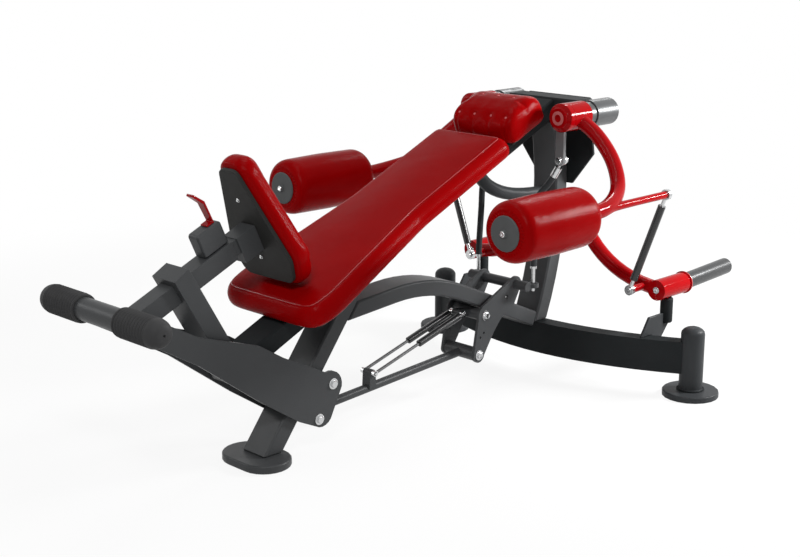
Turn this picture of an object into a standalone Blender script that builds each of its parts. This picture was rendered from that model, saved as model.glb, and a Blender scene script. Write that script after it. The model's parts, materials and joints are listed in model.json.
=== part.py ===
# Plate-loaded incline fly machine with foot-assisted start, modelled from one photograph.
# Lengths in metres. In the machine's own layout X = 0 is the line of the two rear posts,
# +X is the head end, +Y the far side, Z = 0 the floor. An empty then moves the middle of
# the machine's length to the origin.
import math

import bmesh
import bpy
from mathutils import Vector

# Fits
gap = 0.0003
play = 0.0005
pin_play = 0.0015

# Frame tubes
tube_w = 0.100
spine_t = 0.050
leg_t = 0.055
pad_beam_t = 0.060
upright_t = 0.060
incline = math.radians(24)

# Rear beam, posts and front foot
post_y = 0.540
post_r = 0.038
post_h = 0.229
rear_foot_r = 0.090
rear_foot_h = 0.020
beam_z = 0.075
beam_h = 0.105
beam_t = 0.056
beam_bow = 0.155
front_foot_x = -1.348
front_foot_w = 0.150
front_foot_l = 0.224
front_foot_h = 0.025

# Leg, spine and upright
leg_foot_x = -1.328
leg_lean = math.radians(37.5)
spine_top_x = -0.790
spine_top_z = 0.400
spine_bend_r = 0.620
spine_drop = math.radians(24)
spine_rise = math.radians(4.5)
upright_apex_x = -0.070
upright_apex_z = 0.620
upright_reach = 0.440
upright_sag = 0.0912
spine_join_rise = 0.070
brace_r = 0.021
brace_top_x = -0.436

# Pad beam, seat post and seat rail, measured along and across the incline
pad_beam_m = 0.889
seat_post_along = -1.2336
seat_post_over = 0.0499
seat_post_lean = math.radians(30)
seat_post_t = 0.055
rail_s = 0.056
rail_wall = 0.005
rail_m = 1.155
rail_low = -1.372
rail_high = -1.046
stem_s = 0.044
stem_in = 0.244
seat_block_low = 0.053
seat_block_high = 0.026
seat_block_half = 0.030
seat_block_l = 0.068
seat_plane = -0.960
plate_t = 0.008
latch_l = 0.086
latch_h = 0.070
latch_w = 0.044
latch_r = 0.010
latch_lever_w = 0.028
latch_lever_t = 0.005
latch_lever_foot = 0.026
latch_lever_knee = 0.062
latch_lever_rise = 0.102

# Upholstery
board_t = 0.012
liner_t = 0.006
back_low = -1.014
back_high = -0.076
back_shoulder = -0.905
back_waist = -0.500
back_half_low = 0.205
back_half_high = 0.150
back_thick = 0.071
head_low = -0.046
head_high = 0.134
head_half = 0.126
head_thick = 0.105
seat_low = 0.992
seat_high = 1.358
seat_top_half = 0.036
seat_low_half = 0.132
seat_thick = 0.066

# Arm axis, hub, collar and housing
hub_y = 0.1885
hub_z = 0.883
hub_r = 0.045
housing_r = 0.043
housing_back = -0.014
housing_l = 0.110
collar_r = 0.0385
collar_l = 0.032
hub_l = 0.0835
crank_hub_l = 0.034
cross_t = 0.084
cross_h = 0.076
gusset_t = 0.010
gusset_drop = 0.251
gusset_low_half = 0.066
gusset_wide_half = 0.150
gusset_wide_drop = 0.145
gusset_top_half = 0.126

# Fly arm and roller
arm_r = 0.024
roller_y = 0.467
roller_z = 0.652
roller_r = 0.093
roller_l = 0.333
roller_back = -0.503
roller_core_r = 0.015
roller_cap_r = 0.051
roller_cap_t = 0.006
stub_r = 0.0125
stub_z = 0.655
stub_end = -0.062

# Weight lever, link and horn
lever_pin_y = 0.345
lever_pin_r = 0.007
link_x = -0.078
link_t = 0.014
link_r = 0.0125
link_neck_r = 0.006
link_neck_l = 0.040
link_eye_r = 0.017
boss_y = 0.401
boss_z = 0.323
boss_r = 0.034
boss_front = -0.013
boss_l = 0.153
weight_hub_r = 0.033
weight_hub_l = 0.074
weight_hub_front = -0.029
weight_tube_x = 0.012
horn_r = 0.027
horn_l = 0.257
horn_flange_r = 0.033
horn_flange_t = 0.009
horn_sunk = 0.002
horn_rise = math.radians(2.6)
bumper_r = 0.021
bumper_edge = 0.004
bumper_foot = 0.205
bumper_x = 0.050
bracket_t = 0.010
bracket_rise = 0.060
bracket_foot = 0.020
bracket_in = 0.010

# Foot lever and push rod
lever_x = -1.117
lever_z = 0.193
lever_gap = 0.060
lever_t = 0.010
plate_nose_r = 0.030
plate_lobe_r = 0.046
plate_heel_r = 0.042
lever_tube_r = 0.022
bar_x = -1.825
bar_z = 0.526
bar_r = 0.031
grip_r = 0.039
grip_in = 0.086
grip_out = 0.257
grip_dome = 0.034
grip_wall = 0.016
grip_ribs = 7
grip_rib_from = 0.010
grip_rib_step = 0.0185
grip_rib_half = 0.003
rod_pin_x = -1.172
rod_pin_z = 0.099
push_rod_r = 0.0135
rod_tee_r = 0.022
rod_lug_half = 0.014

# Bellcrank
bell_x = -0.464
bell_z = 0.264
bell_gap = 0.062
bell_t = 0.010
bell_arm_r = 0.026
bell_pin_x = -0.494
bell_pin_z = 0.139
yoke_x = -0.290
yoke_y = 0.118
yoke_z = 0.340
yoke_bar_r = 0.016
yoke_ring_r = 0.018
yoke_hole_r = 0.010
yoke_ring_h = 0.014
bolt_r = 0.014
bolt_h = 0.008

# Crank and its rod
crank_l = 0.134
crank_w = 0.032
crank_t = 0.012
crank_pin_r = 0.006
rod_eye_r = 0.015
rod_eye_t = 0.009
rod_eye_side = 0.002
rod_tube_r = 0.0105
rod_socket_r = 0.012
rod_socket_l = 0.036
rod_tip_r = 0.006

# Gas springs
spring_y = 0.023
spring_eye_t = 0.012
spring_low_x = -0.908
spring_low_z = 0.163
spring_high_x = -0.518
spring_high_z = 0.271
spring_pin_r = 0.005
spring_body_r = 0.011
spring_body_l = 0.200
spring_rod_r = 0.005

colours = {
    "anthracite": ((0.045, 0.047, 0.050), 0.38, 0.6),
    "red_paint": ((0.300, 0.004, 0.008), 0.22, 0.1),
    "red_vinyl": ((0.250, 0.004, 0.008), 0.30, 0.0),
    "dark_board": ((0.020, 0.020, 0.022), 0.60, 0.0),
    "gunmetal": ((0.120, 0.125, 0.130), 0.30, 0.9),
    "chrome": ((0.700, 0.710, 0.720), 0.12, 1.0),
    "rubber": ((0.020, 0.020, 0.021), 0.75, 0.0),
    "grey_plate": ((0.220, 0.230, 0.235), 0.40, 0.8),
    "black_gloss": ((0.012, 0.012, 0.013), 0.15, 0.3),
    "cap_grey": ((0.070, 0.075, 0.075), 0.55, 0.0),
}


def clear_scene():
    for item in list(bpy.data.objects):
        bpy.data.objects.remove(item, do_unlink=True)


def make_materials():
    made = {}
    for name, (colour, rough, metal) in colours.items():
        material = bpy.data.materials.new(name)
        material.use_nodes = True
        shader = material.node_tree.nodes["Principled BSDF"]
        shader.inputs["Base Color"].default_value = (*colour, 1.0)
        shader.inputs["Roughness"].default_value = rough
        shader.inputs["Metallic"].default_value = metal
        made[name] = material
    return made


def body(name, at=(0.0, 0.0, 0.0)):
    # An empty on the joint's axis that carries one moving body.
    empty = bpy.data.objects.new(name + "_pivot", None)
    empty.location = at
    empty.parent = machine
    bpy.context.collection.objects.link(empty)
    return empty


def finish(name, bm, material, parent, smooth=True):
    # Turns a bmesh drawn in the machine's layout into an object on its body's empty.
    bmesh.ops.remove_doubles(bm, verts=bm.verts, dist=1e-6)
    bmesh.ops.recalc_face_normals(bm, faces=bm.faces)
    bmesh.ops.translate(bm, verts=bm.verts, vec=-Vector(parent.location))
    mesh = bpy.data.meshes.new(name)
    bm.to_mesh(mesh)
    bm.free()
    if smooth:
        mesh.shade_smooth()
        mesh.set_sharp_from_angle(angle=math.radians(35))
    mesh.materials.append(materials[material])
    item = bpy.data.objects.new(name, mesh)
    item.parent = parent
    bpy.context.collection.objects.link(item)
    return item


def combine(item, tool, how):
    # Boolean with a guide solid, which is hidden.
    tool.hide_render = True
    tool.display_type = "WIRE"
    step = item.modifiers.new(how.lower(), "BOOLEAN")
    step.operation = how
    step.solver = "EXACT"
    step.object = tool


def round_edges(item, width, segments=1):
    step = item.modifiers.new("edges", "BEVEL")
    step.width = width
    step.segments = segments
    step.limit_method = "ANGLE"
    step.angle_limit = math.radians(50)


# Plane helpers: "xz" outlines run along Y, "yz" outlines along X, "xy" outlines along Z.
def lift(plane, u, v, w):
    if plane == "xz":
        return Vector((u, w, v))
    if plane == "yz":
        return Vector((w, u, v))
    return Vector((u, v, w))


def prism(outline, plane, low, high):
    bm = bmesh.new()
    corners = [bm.verts.new(lift(plane, u, v, low)) for u, v in outline]
    face = bm.faces.new(corners)
    grown = bmesh.ops.extrude_face_region(bm, geom=[face])
    moved = [part for part in grown["geom"] if isinstance(part, bmesh.types.BMVert)]
    bmesh.ops.translate(bm, verts=moved, vec=lift(plane, 0, 0, high - low))
    return bm


def turned(profile, base, direction, sides=20):
    # A profile of (distance along the axis, radius), spun about the axis.
    axis = Vector(direction).normalized()
    side = axis.orthogonal().normalized()
    bm = bmesh.new()
    points = [bm.verts.new(Vector(base) + axis * along + side * radius) for along, radius in profile]
    edges = [bm.edges.new(pair) for pair in zip(points, points[1:])]
    bmesh.ops.spin(
        bm, geom=points + edges, cent=Vector(base), axis=axis, angle=math.tau,
        steps=sides, use_merge=True,
    )
    return bm


def rod_solid(start, end, radius, sides=14):
    reach = Vector(end) - Vector(start)
    profile = [(0, 0), (0, radius), (reach.length, radius), (reach.length, 0)]
    return turned(profile, start, reach, sides)


def ring_solid(centre, direction, outer, inner, length, sides=16):
    half = length / 2
    profile = [(-half, inner), (-half, outer), (half, outer), (half, inner), (-half, inner)]
    return turned(profile, centre, direction, sides)


def swept_tube(points, radius, sides=14):
    # A round tube along a list of points, with flat ends square to the path.
    bm = bmesh.new()
    rings = []
    count = len(points)
    side = None
    for index, point in enumerate(points):
        ahead = points[min(index + 1, count - 1)] - points[max(index - 1, 0)]
        axis = ahead.normalized()
        if side is None:
            side = axis.orthogonal().normalized()
        side = (side - axis * side.dot(axis)).normalized()
        other = axis.cross(side)
        ring = []
        for step in range(sides):
            turn = math.tau * step / sides
            offset = side * (math.cos(turn) * radius) + other * (math.sin(turn) * radius)
            ring.append(bm.verts.new(point + offset))
        rings.append(ring)
    for near, far in zip(rings, rings[1:]):
        for step in range(sides):
            after = (step + 1) % sides
            bm.faces.new((near[step], near[after], far[after], far[step]))
    bm.faces.new(rings[0])
    bm.faces.new(rings[-1])
    return bm


def bezier(first, second, third, fourth, steps):
    points = []
    for step in range(steps + 1):
        s = step / steps
        r = 1 - s
        points.append(
            first * r ** 3 + second * (3 * r * r * s) + third * (3 * r * s * s) + fourth * s ** 3
        )
    return points


def through(points, steps):
    # A smooth curve through the given points (Catmull-Rom).
    path = []
    padded = [points[0] * 2 - points[1], *points, points[-1] * 2 - points[-2]]
    for before, here, after, beyond in zip(padded, padded[1:], padded[2:], padded[3:]):
        for step in range(steps):
            s = step / steps
            path.append(
                (here * 2 + (after - before) * s
                 + (before * 2 - here * 5 + after * 4 - beyond) * s * s
                 + (here * 3 - before - after * 3 + beyond) * s ** 3) * 0.5
            )
    path.append(points[-1])
    return path


def meet(point, direction, other, heading):
    # Crossing of two lines in a plane.
    cross = direction[0] * heading[1] - direction[1] * heading[0]
    along = ((other[0] - point[0]) * heading[1] - (other[1] - point[1]) * heading[0]) / cross
    return (point[0] + direction[0] * along, point[1] + direction[1] * along)


def arc(centre, radius, start, end, steps):
    points = []
    for step in range(steps + 1):
        turn = start + (end - start) * step / steps
        points.append((centre[0] + radius * math.cos(turn), centre[1] + radius * math.sin(turn)))
    return points


# The incline: "along" runs up towards the head, "across" rises square to it.
along_dir = (math.cos(incline), math.sin(incline))
across_dir = (-math.sin(incline), math.cos(incline))


def inclined(along, across):
    return (
        along * along_dir[0] + across * across_dir[0],
        along * along_dir[1] + across * across_dir[1],
    )


def inclined_3d(along, y, across):
    x, z = inclined(along, across)
    return Vector((x, y, z))


def mirrored(sign, points):
    return [Vector((point.x, point.y * sign, point.z)) for point in points]


# Frame
def upright_axis(z):
    return upright_apex_x - upright_sag * ((z - upright_apex_z) / upright_reach) ** 2


def upright_face(z, side):
    slope = 2 * upright_sag * (upright_apex_z - z) / upright_reach ** 2
    return upright_axis(z) + side * (upright_t / 2) * math.hypot(1, slope)


beam_top = beam_z + beam_h
cross_low = hub_z - cross_h / 2
cross_front = housing_back - housing_l


def beam_middle(y):
    return -beam_bow * (1 - (y / post_y) ** 2)


def build_feet():
    half = front_foot_l / 2 - front_foot_w / 2
    outline = [
        *arc((front_foot_x, half), front_foot_w / 2, 0, math.pi, 12),
        *arc((front_foot_x, -half), front_foot_w / 2, math.pi, math.tau, 12),
    ]
    foot = finish("front_foot", prism(outline, "xy", 0, front_foot_h), "anthracite", frame)
    round_edges(foot, 0.004)
    shoulder = rear_foot_h + 0.006
    dome = post_h - post_r * 0.62
    profile = [(0, 0), (0, rear_foot_r), (rear_foot_h - 0.003, rear_foot_r)]
    profile += [(rear_foot_h, rear_foot_r - 0.004), (rear_foot_h, post_r + 0.006), (shoulder, post_r)]
    for step in range(6):
        turn = math.pi / 2 * step / 5
        profile.append((dome + (post_h - dome) * math.sin(turn), post_r * math.cos(turn)))
    for side, sign in (("near", -1), ("far", 1)):
        post = turned(profile, (0, sign * post_y, 0), (0, 0, 1), 20)
        finish(side + "_rear_post", post, "anthracite", frame)


def build_beam():
    steps = 16
    reach = post_y - post_r * 0.3
    ys = [-reach + 2 * reach * step / steps for step in range(steps + 1)]
    rear = [(beam_middle(y) + beam_t / 2, y) for y in ys]
    front = [(beam_middle(y) - beam_t / 2, y) for y in reversed(ys)]
    beam = finish("rear_beam", prism(rear + front, "xy", beam_z, beam_top), "anthracite", frame)
    for sign in (-1, 1):
        at = (0, sign * post_y, beam_z - 0.01)
        to = (0, sign * post_y, beam_top + 0.01)
        tool = finish("post_cut", rod_solid(at, to, post_r + gap, 32), "anthracite", frame)
        combine(beam, tool, "DIFFERENCE")


leg_dir = (math.sin(leg_lean), math.cos(leg_lean))
leg_side = (math.cos(leg_lean), -math.sin(leg_lean))
leg_base = (leg_foot_x, front_foot_h)
pad_beam_low = pad_beam_m - pad_beam_t


def leg_line(side):
    return (leg_base[0] + leg_side[0] * side * leg_t / 2, leg_base[1] + leg_side[1] * side * leg_t / 2)


def build_leg():
    foot_line = (0, front_foot_h + gap)
    under = inclined(0, pad_beam_low - gap)
    outline = [
        meet(leg_line(-1), leg_dir, foot_line, (1, 0)),
        meet(leg_line(1), leg_dir, foot_line, (1, 0)),
        meet(leg_line(1), leg_dir, under, along_dir),
        meet(leg_line(-1), leg_dir, under, along_dir),
    ]
    leg = finish("front_leg", prism(outline, "xz", -tube_w / 2, tube_w / 2), "anthracite", frame)
    round_edges(leg, 0.005)


def spine_edge(side):
    # One edge of the arched spine, from the leg to the upright.
    radius = spine_bend_r + side * spine_t / 2
    centre = (spine_top_x, spine_top_z - spine_bend_r)
    points = arc(centre, radius, math.pi / 2 + spine_rise, math.pi / 2 - spine_drop, 8)
    falling = (math.cos(spine_drop), -math.sin(spine_drop))
    rising = (math.cos(spine_rise), math.sin(spine_rise))
    leg_face = (leg_line(1)[0] + leg_side[0] * gap, leg_line(1)[1] + leg_side[1] * gap)
    start = meet(points[0], rising, leg_face, leg_dir)
    high = beam_top + spine_join_rise
    upper = (upright_face(high, -1) - gap, high)
    lower = (upright_face(beam_top, -1) - gap, beam_top)
    end = meet(points[-1], falling, lower, (upper[0] - lower[0], upper[1] - lower[1]))
    return [start, *points, end]


def build_spine():
    outline = spine_edge(1) + list(reversed(spine_edge(-1)))
    spine = finish("spine", prism(outline, "xz", -tube_w / 2, tube_w / 2), "anthracite", frame)
    round_edges(spine, 0.005)


def upright_outline(room):
    steps = 10
    bottom = beam_top + gap
    top = cross_low - gap
    heights = [bottom + (top - bottom) * step / steps for step in range(steps + 1)]
    outline = [(upright_face(z, -1) - room, z) for z in heights]
    return outline + [(upright_face(z, 1) + room, z) for z in reversed(heights)]


def build_upright():
    bm = prism(upright_outline(0), "xz", -tube_w / 2, tube_w / 2)
    round_edges(finish("upright", bm, "anthracite", frame), 0.006)


def upright_guide(name):
    # The upright's shape with room all round, for cutting what is welded to it.
    bm = prism(upright_outline(gap), "xz", -tube_w, tube_w)
    return finish(name, bm, "anthracite", frame, False)


post_dir = (-math.sin(seat_post_lean), math.cos(seat_post_lean))
post_side = (math.cos(seat_post_lean), math.sin(seat_post_lean))


post_head = inclined(seat_post_along, rail_m + seat_post_over)


def seat_post_line(side):
    half = side * seat_post_t / 2
    return (post_head[0] + post_side[0] * half, post_head[1] + post_side[1] * half)


def build_pad_beam():
    face = seat_post_line(1)
    face = (face[0] + post_side[0] * gap, face[1] + post_side[1] * gap)
    end = (cross_front - gap, 0)
    top = inclined(0, pad_beam_m)
    low = inclined(0, pad_beam_low)
    outline = [
        meet(low, along_dir, face, post_dir),
        meet(low, along_dir, end, (0, 1)),
        meet(top, along_dir, end, (0, 1)),
        meet(top, along_dir, face, post_dir),
    ]
    beam = finish("pad_beam", prism(outline, "xz", -tube_w / 2, tube_w / 2), "anthracite", frame)
    round_edges(beam, 0.005)


def inclined_box(low, high, bottom, top, half):
    outline = [inclined(low, bottom), inclined(high, bottom), inclined(high, top), inclined(low, top)]
    return prism(outline, "xz", -half, half)


def build_seat_post():
    low = inclined(0, pad_beam_low)
    outline = [
        meet(seat_post_line(-1), post_dir, low, along_dir),
        meet(seat_post_line(1), post_dir, low, along_dir),
        meet(seat_post_line(1), post_dir, post_head, post_side),
        meet(seat_post_line(-1), post_dir, post_head, post_side),
    ]
    post = finish("seat_post", prism(outline, "xz", -tube_w / 2, tube_w / 2), "anthracite", frame)
    half = rail_s / 2 + gap
    window = inclined_box(rail_low - 0.02, rail_high, rail_m - half, rail_m + half, half)
    combine(post, finish("rail_window", window, "anthracite", frame, False), "DIFFERENCE")


def build_rail():
    half = rail_s / 2
    bm = inclined_box(rail_low, rail_high, rail_m - half, rail_m + half, half)
    rail = finish("seat_rail", bm, "anthracite", frame, False)
    room = stem_s / 2 + play
    low = rail_high - stem_in - 0.006
    bore = inclined_box(low, rail_high + 0.01, rail_m - room, rail_m + room, room)
    combine(rail, finish("rail_bore", bore, "anthracite", frame, False), "DIFFERENCE")


latch_high = rail_high - 0.002
latch_base = rail_m + rail_s / 2 + gap


def build_latch():
    low = latch_high - latch_l
    top = latch_base + latch_h
    corner_low = arc((low + latch_r, top - latch_r), latch_r, math.pi, math.pi / 2, 5)
    corner_high = arc((latch_high - latch_r, top - latch_r), latch_r, math.pi / 2, 0, 5)
    shape = [(low, latch_base), *corner_low, *corner_high, (latch_high, latch_base)]
    outline = [inclined(u, v) for u, v in shape]
    bm = prism(outline, "xz", -latch_w / 2, latch_w / 2)
    housing = finish("latch_housing", bm, "anthracite", frame)
    round_edges(housing, 0.004)
    high, base = latch_high - latch_r * 1.4, top + gap
    heel = high - latch_lever_foot
    thick = latch_lever_t
    tip = high - latch_lever_foot * 1.2
    shape = [
        (high, base),
        (heel, base),
        (heel, base + thick),
        (high - thick, base + thick),
        (high - thick * 1.8, base + latch_lever_knee),
        (tip, base + latch_lever_rise - thick),
        (tip + thick, base + latch_lever_rise),
        (high - thick * 0.4, base + latch_lever_knee + thick),
    ]
    outline = [inclined(u, v) for u, v in shape]
    x, z = inclined(heel, base)
    carrier = body("release_lever", (x, 0, z))
    bm = prism(outline, "xz", -latch_lever_w / 2, latch_lever_w / 2)
    finish("release_lever", bm, "red_paint", carrier, False)


def build_crossmember():
    half = hub_y - housing_r - gap
    outline = [
        (cross_front, cross_low),
        (cross_front + cross_t, cross_low),
        (cross_front + cross_t, cross_low + cross_h),
        (cross_front, cross_low + cross_h),
    ]
    cross = finish("hub_crossmember", prism(outline, "xz", -half, half), "anthracite", frame)
    round_edges(cross, 0.005)
    low_x = cross_front + cross_t + gap
    edge = [
        (gusset_low_half, hub_z - gusset_drop),
        (gusset_wide_half, hub_z - gusset_wide_drop),
        (gusset_top_half, cross_low + cross_h),
    ]
    outline = edge + [(-y, z) for y, z in reversed(edge)]
    finish("hub_gusset", prism(outline, "yz", low_x, low_x + gusset_t), "anthracite", frame)


def build_housings():
    front = -collar_l
    profile = [(front, 0), (front, collar_r), (-0.0006, collar_r), (-0.0006, collar_r - 0.002)]
    profile += [(0, collar_r - 0.002), (0, housing_r - 0.001), (0.001, housing_r)]
    profile += [(housing_l - 0.005, housing_r), (housing_l, housing_r - 0.005), (housing_l, 0)]
    for side, sign in (("near", -1), ("far", 1)):
        base = (cross_front, sign * hub_y, hub_z)
        finish(side + "_housing", turned(profile, base, (1, 0, 0), 24), "gunmetal", frame)


def build_brace():
    start = Vector((brace_top_x, 0, 0))
    start.z = inclined(0, pad_beam_low)[1] + (brace_top_x - inclined(0, pad_beam_low)[0]) * math.tan(incline)
    end_z = upright_apex_z - 0.015
    end = Vector((upright_face(end_z, -1) - gap, 0, end_z))
    lead = Vector((0.55, 0, -0.83))
    inside = start - lead * 0.03
    points = [inside] + bezier(start, start + lead * 0.105, end - Vector((0.14, 0, 0)), end, 12)
    points.append(end + Vector((0.02, 0, 0)))
    brace = finish("brace", swept_tube(points, brace_r), "anthracite", frame)
    combine(brace, upright_guide("brace_end_cut"), "DIFFERENCE")
    roof = inclined_box(back_low, 0.2, pad_beam_low - gap, pad_beam_m + 0.02, tube_w)
    combine(brace, finish("brace_cut", roof, "anthracite", frame, False), "DIFFERENCE")


def build_weight_mount():
    x_low = upright_face(pivot_z, 1) - 0.01
    half = pivot_y + weight_hub_r
    outline = [
        *arc((half - weight_hub_r, pivot_z), weight_hub_r, math.pi / 2, -math.pi / 2, 10),
        *arc((weight_hub_r - half, pivot_z), weight_hub_r, -math.pi / 2, -math.pi * 1.5, 10),
    ]
    bm = prism(outline, "yz", x_low, weight_hub_front - play)
    mount = finish("weight_pivot_mount", bm, "anthracite", frame)
    combine(mount, upright_guide("mount_cut"), "DIFFERENCE")


def build_bumpers():
    for side, sign in (("near", -1), ("far", 1)):
        half = bracket_t / 2
        beam_half = beam_t / 2 * math.hypot(1, 2 * beam_bow * boss_y / post_y**2)
        front = beam_middle(boss_y) - beam_half + bracket_in
        rear = beam_middle(boss_y + half) + beam_half + gap * 2
        near_pad = bumper_x - bumper_r - gap
        outline = [
            (front, beam_top + gap),
            (front + bracket_rise * 0.7, beam_top + bracket_rise),
            (near_pad, beam_top + bracket_rise),
            (near_pad, bumper_foot - gap),
            (bumper_x + bumper_r * 0.6, bumper_foot - gap),
            (rear, beam_z + bracket_foot),
            (rear, beam_top + gap),
        ]
        plate = prism(outline, "xz", sign * boss_y - half, sign * boss_y + half)
        round_edges(finish(side + "_bumper_bracket", plate, "anthracite", frame), 0.002)
        foot = bumper_foot
        high = boss_z - boss_r - gap - foot
        profile = [
            (0, 0),
            (0, bumper_r - bumper_edge),
            (bumper_edge, bumper_r),
            (high - bumper_edge, bumper_r),
            (high, bumper_r - bumper_edge),
            (high, 0),
        ]
        pad = turned(profile, (bumper_x, sign * boss_y, foot), (0, 0, 1), 16)
        finish(side + "_bumper", pad, "rubber", frame)


# The parallel linkage: the weight lever's pivot lies so far from its pin as the arm's axis
# lies from its stub, so arm and lever turn alike and the link keeps its direction.
pivot_y = lever_pin_y - (roller_y - hub_y)
pivot_z = hub_z - (stub_z - boss_z) + 0.003
pin_z = boss_z + 0.003


def build_weight_levers():
    for side, sign in (("near", -1), ("far", 1)):
        carrier = body(side + "_weight_lever", (weight_hub_front, sign * pivot_y, pivot_z))
        hub_end = weight_hub_front + weight_hub_l
        at = (weight_hub_front, sign * pivot_y, pivot_z)
        hub = rod_solid(at, (hub_end, sign * pivot_y, pivot_z), weight_hub_r, 20)
        lever = finish(side + "_weight_lever", hub, "red_paint", carrier)
        start = Vector((weight_tube_x, pivot_y, pivot_z))
        end = Vector((weight_tube_x, boss_y, boss_z))
        bend_in = Vector((weight_tube_x, pivot_y + 0.014, pivot_z - 0.104))
        bend_out = Vector((weight_tube_x, boss_y - 0.200, boss_z + 0.002))
        path = mirrored(sign, bezier(start, bend_in, bend_out, end, 14))
        tube = finish(side + "_lever_tube", swept_tube(path, arm_r), "red_paint", carrier)
        boss_at = (boss_front, sign * boss_y, boss_z)
        boss_to = (boss_front + boss_l, sign * boss_y, boss_z)
        boss = finish(side + "_lever_boss", rod_solid(boss_at, boss_to, boss_r, 20), "red_paint", carrier)
        front = link_x - link_t / 2 - 0.007
        lug = eye_pin(side, "lever", carrier, weight_tube_x, sign * lever_pin_y, pin_z, front)
        for tool in (tube, boss, *lug):
            combine(lever, tool, "UNION")
        profile = [(0, 0), (0, horn_flange_r), (horn_flange_t, horn_flange_r), (horn_flange_t, horn_r)]
        profile += [(horn_l - 0.006, horn_r), (horn_l, horn_r - 0.006), (horn_l, 0)]
        face = boss_front + boss_l
        lean = (math.cos(horn_rise), 0, math.sin(horn_rise))
        solid = turned(profile, (face - horn_sunk, sign * boss_y, boss_z), lean, 20)
        horn = finish(side + "_horn", solid, "gunmetal", carrier)
        at = (face - 0.02, sign * boss_y, boss_z)
        tool = rod_solid(at, (face + gap, sign * boss_y, boss_z), horn_flange_r * 1.5)
        combine(horn, finish(side + "_horn_cut", tool, "gunmetal", carrier), "DIFFERENCE")


def build_links():
    for side, sign in (("near", -1), ("far", 1)):
        low = Vector((link_x, sign * lever_pin_y, pin_z))
        high = Vector((link_x, sign * roller_y, stub_z))
        carrier = body(side + "_link", low)
        reach = (high - low).normalized()
        shaft = rod_solid(low + reach * link_neck_l, high - reach * link_neck_l, link_r, 14)
        link = finish(side + "_link", shaft, "black_gloss", carrier)
        inner = link_eye_r - 0.003
        neck = rod_solid(low + reach * inner, high - reach * inner, link_neck_r, 10)
        combine(link, finish(side + "_link_neck", neck, "chrome", carrier), "UNION")
        for name, at in (("low", low), ("high", high)):
            eye = ring_solid(at, (1, 0, 0), link_eye_r, lever_pin_r + play, link_t, 14)
            combine(link, finish(side + name + "_eye", eye, "chrome", carrier), "UNION")


def eye_pin(side, name, carrier, start, y, z, far_end):
    # A lug up to the link's eye, a pin through it and a head on the other side.
    facing = 1 if far_end > start else -1
    face = link_x - facing * (link_t / 2 + gap * 3)
    head = link_x + facing * (link_t / 2 + play)
    solids = []
    for part, low, high, radius in (
        ("lug", start, face, stub_r),
        ("pin", face - facing * 0.002, head + facing * 0.001, lever_pin_r),
        ("head", head, far_end, lever_pin_r + 0.004),
    ):
        solid = rod_solid((min(low, high), y, z), (max(low, high), y, z), radius, 12)
        solids.append(finish(side + "_" + name + "_" + part, solid, "chrome", carrier))
    return solids


def build_arms():
    for side, sign in (("near", -1), ("far", 1)):
        hub_back = cross_front - collar_l - play
        hub_front = hub_back - hub_l
        carrier = body(side + "_arm", (hub_front, sign * hub_y, hub_z))
        hub = rod_solid((hub_front, sign * hub_y, hub_z), (hub_back, sign * hub_y, hub_z), hub_r, 24)
        arm = finish(side + "_arm", hub, "red_paint", carrier)
        centre = (hub_front + hub_back) / 2
        tail = roller_back + play * 4
        drop = hub_z - roller_z
        out = roller_y - hub_y
        points = [
            Vector((centre, hub_y + 0.010, hub_z - 0.003)),
            Vector((centre + 0.008, hub_y + out * 0.20, hub_z - drop * 0.13)),
            Vector((centre + 0.005, hub_y + out * 0.38, hub_z - drop * 0.28)),
            Vector((centre - 0.015, hub_y + out * 0.62, hub_z - drop * 0.54)),
            Vector((centre - 0.067, hub_y + out * 0.83, hub_z - drop * 0.84)),
            Vector((centre - 0.190, roller_y, roller_z + 0.004)),
            Vector((tail, roller_y, roller_z)),
        ]
        path = mirrored(sign, through(points, 3))
        tube = finish(side + "_arm_tube", swept_tube(path, arm_r), "red_paint", carrier)
        combine(arm, tube, "UNION")
        cap_x = roller_back - roller_l
        core_at = (cap_x + play, sign * roller_y, roller_z)
        core_to = (tail + 0.03, sign * roller_y, roller_z)
        core = finish(side + "_arm_core", rod_solid(core_at, core_to, roller_core_r, 20), "chrome", carrier)
        combine(arm, core, "UNION")
        for solid in eye_pin(side, "arm", carrier, centre - 0.185, sign * roller_y, stub_z, stub_end):
            combine(arm, solid, "UNION")
        build_roller(side, sign, cap_x)
        build_crank(side, sign, hub_front)


def build_roller(side, sign, cap_x):
    carrier = body(side + "_roller", (cap_x, sign * roller_y, roller_z))
    inner = roller_core_r + play * 1.6
    flat = roller_r * 0.74
    draw = 0.030
    profile = [(0, inner), (0, flat)]
    for step in range(1, 6):
        turn = math.pi / 2 * step / 5
        along = draw * (1 - math.cos(turn))
        profile.append((along, flat + (roller_r * 0.965 - flat) * math.sin(turn)))
    profile += [(roller_l * 0.3, roller_r * 0.992), (roller_l * 0.5, roller_r), (roller_l * 0.7, roller_r * 0.992)]
    for step in range(4, -1, -1):
        turn = math.pi / 2 * step / 5
        along = roller_l - draw * (1 - math.cos(turn))
        profile.append((along, flat + (roller_r * 0.965 - flat) * math.sin(turn)))
    profile += [(roller_l, inner), (0, inner)]
    pad = turned(profile, (cap_x, sign * roller_y, roller_z), (1, 0, 0), 20)
    finish(side + "_roller", pad, "red_vinyl", carrier)
    base = (cap_x - gap, sign * roller_y, roller_z)
    profile = [(0, 0), (0, roller_cap_r), (roller_cap_t - 0.002, roller_cap_r)]
    profile += [(roller_cap_t, roller_cap_r - 0.003), (roller_cap_t, bolt_r * 0.8)]
    profile += [(roller_cap_t + 0.005, bolt_r * 0.8), (roller_cap_t + 0.005, 0)]
    finish(side + "_roller_cap", turned(profile, base, (-1, 0, 0), 20), "cap_grey", carrier)


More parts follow.
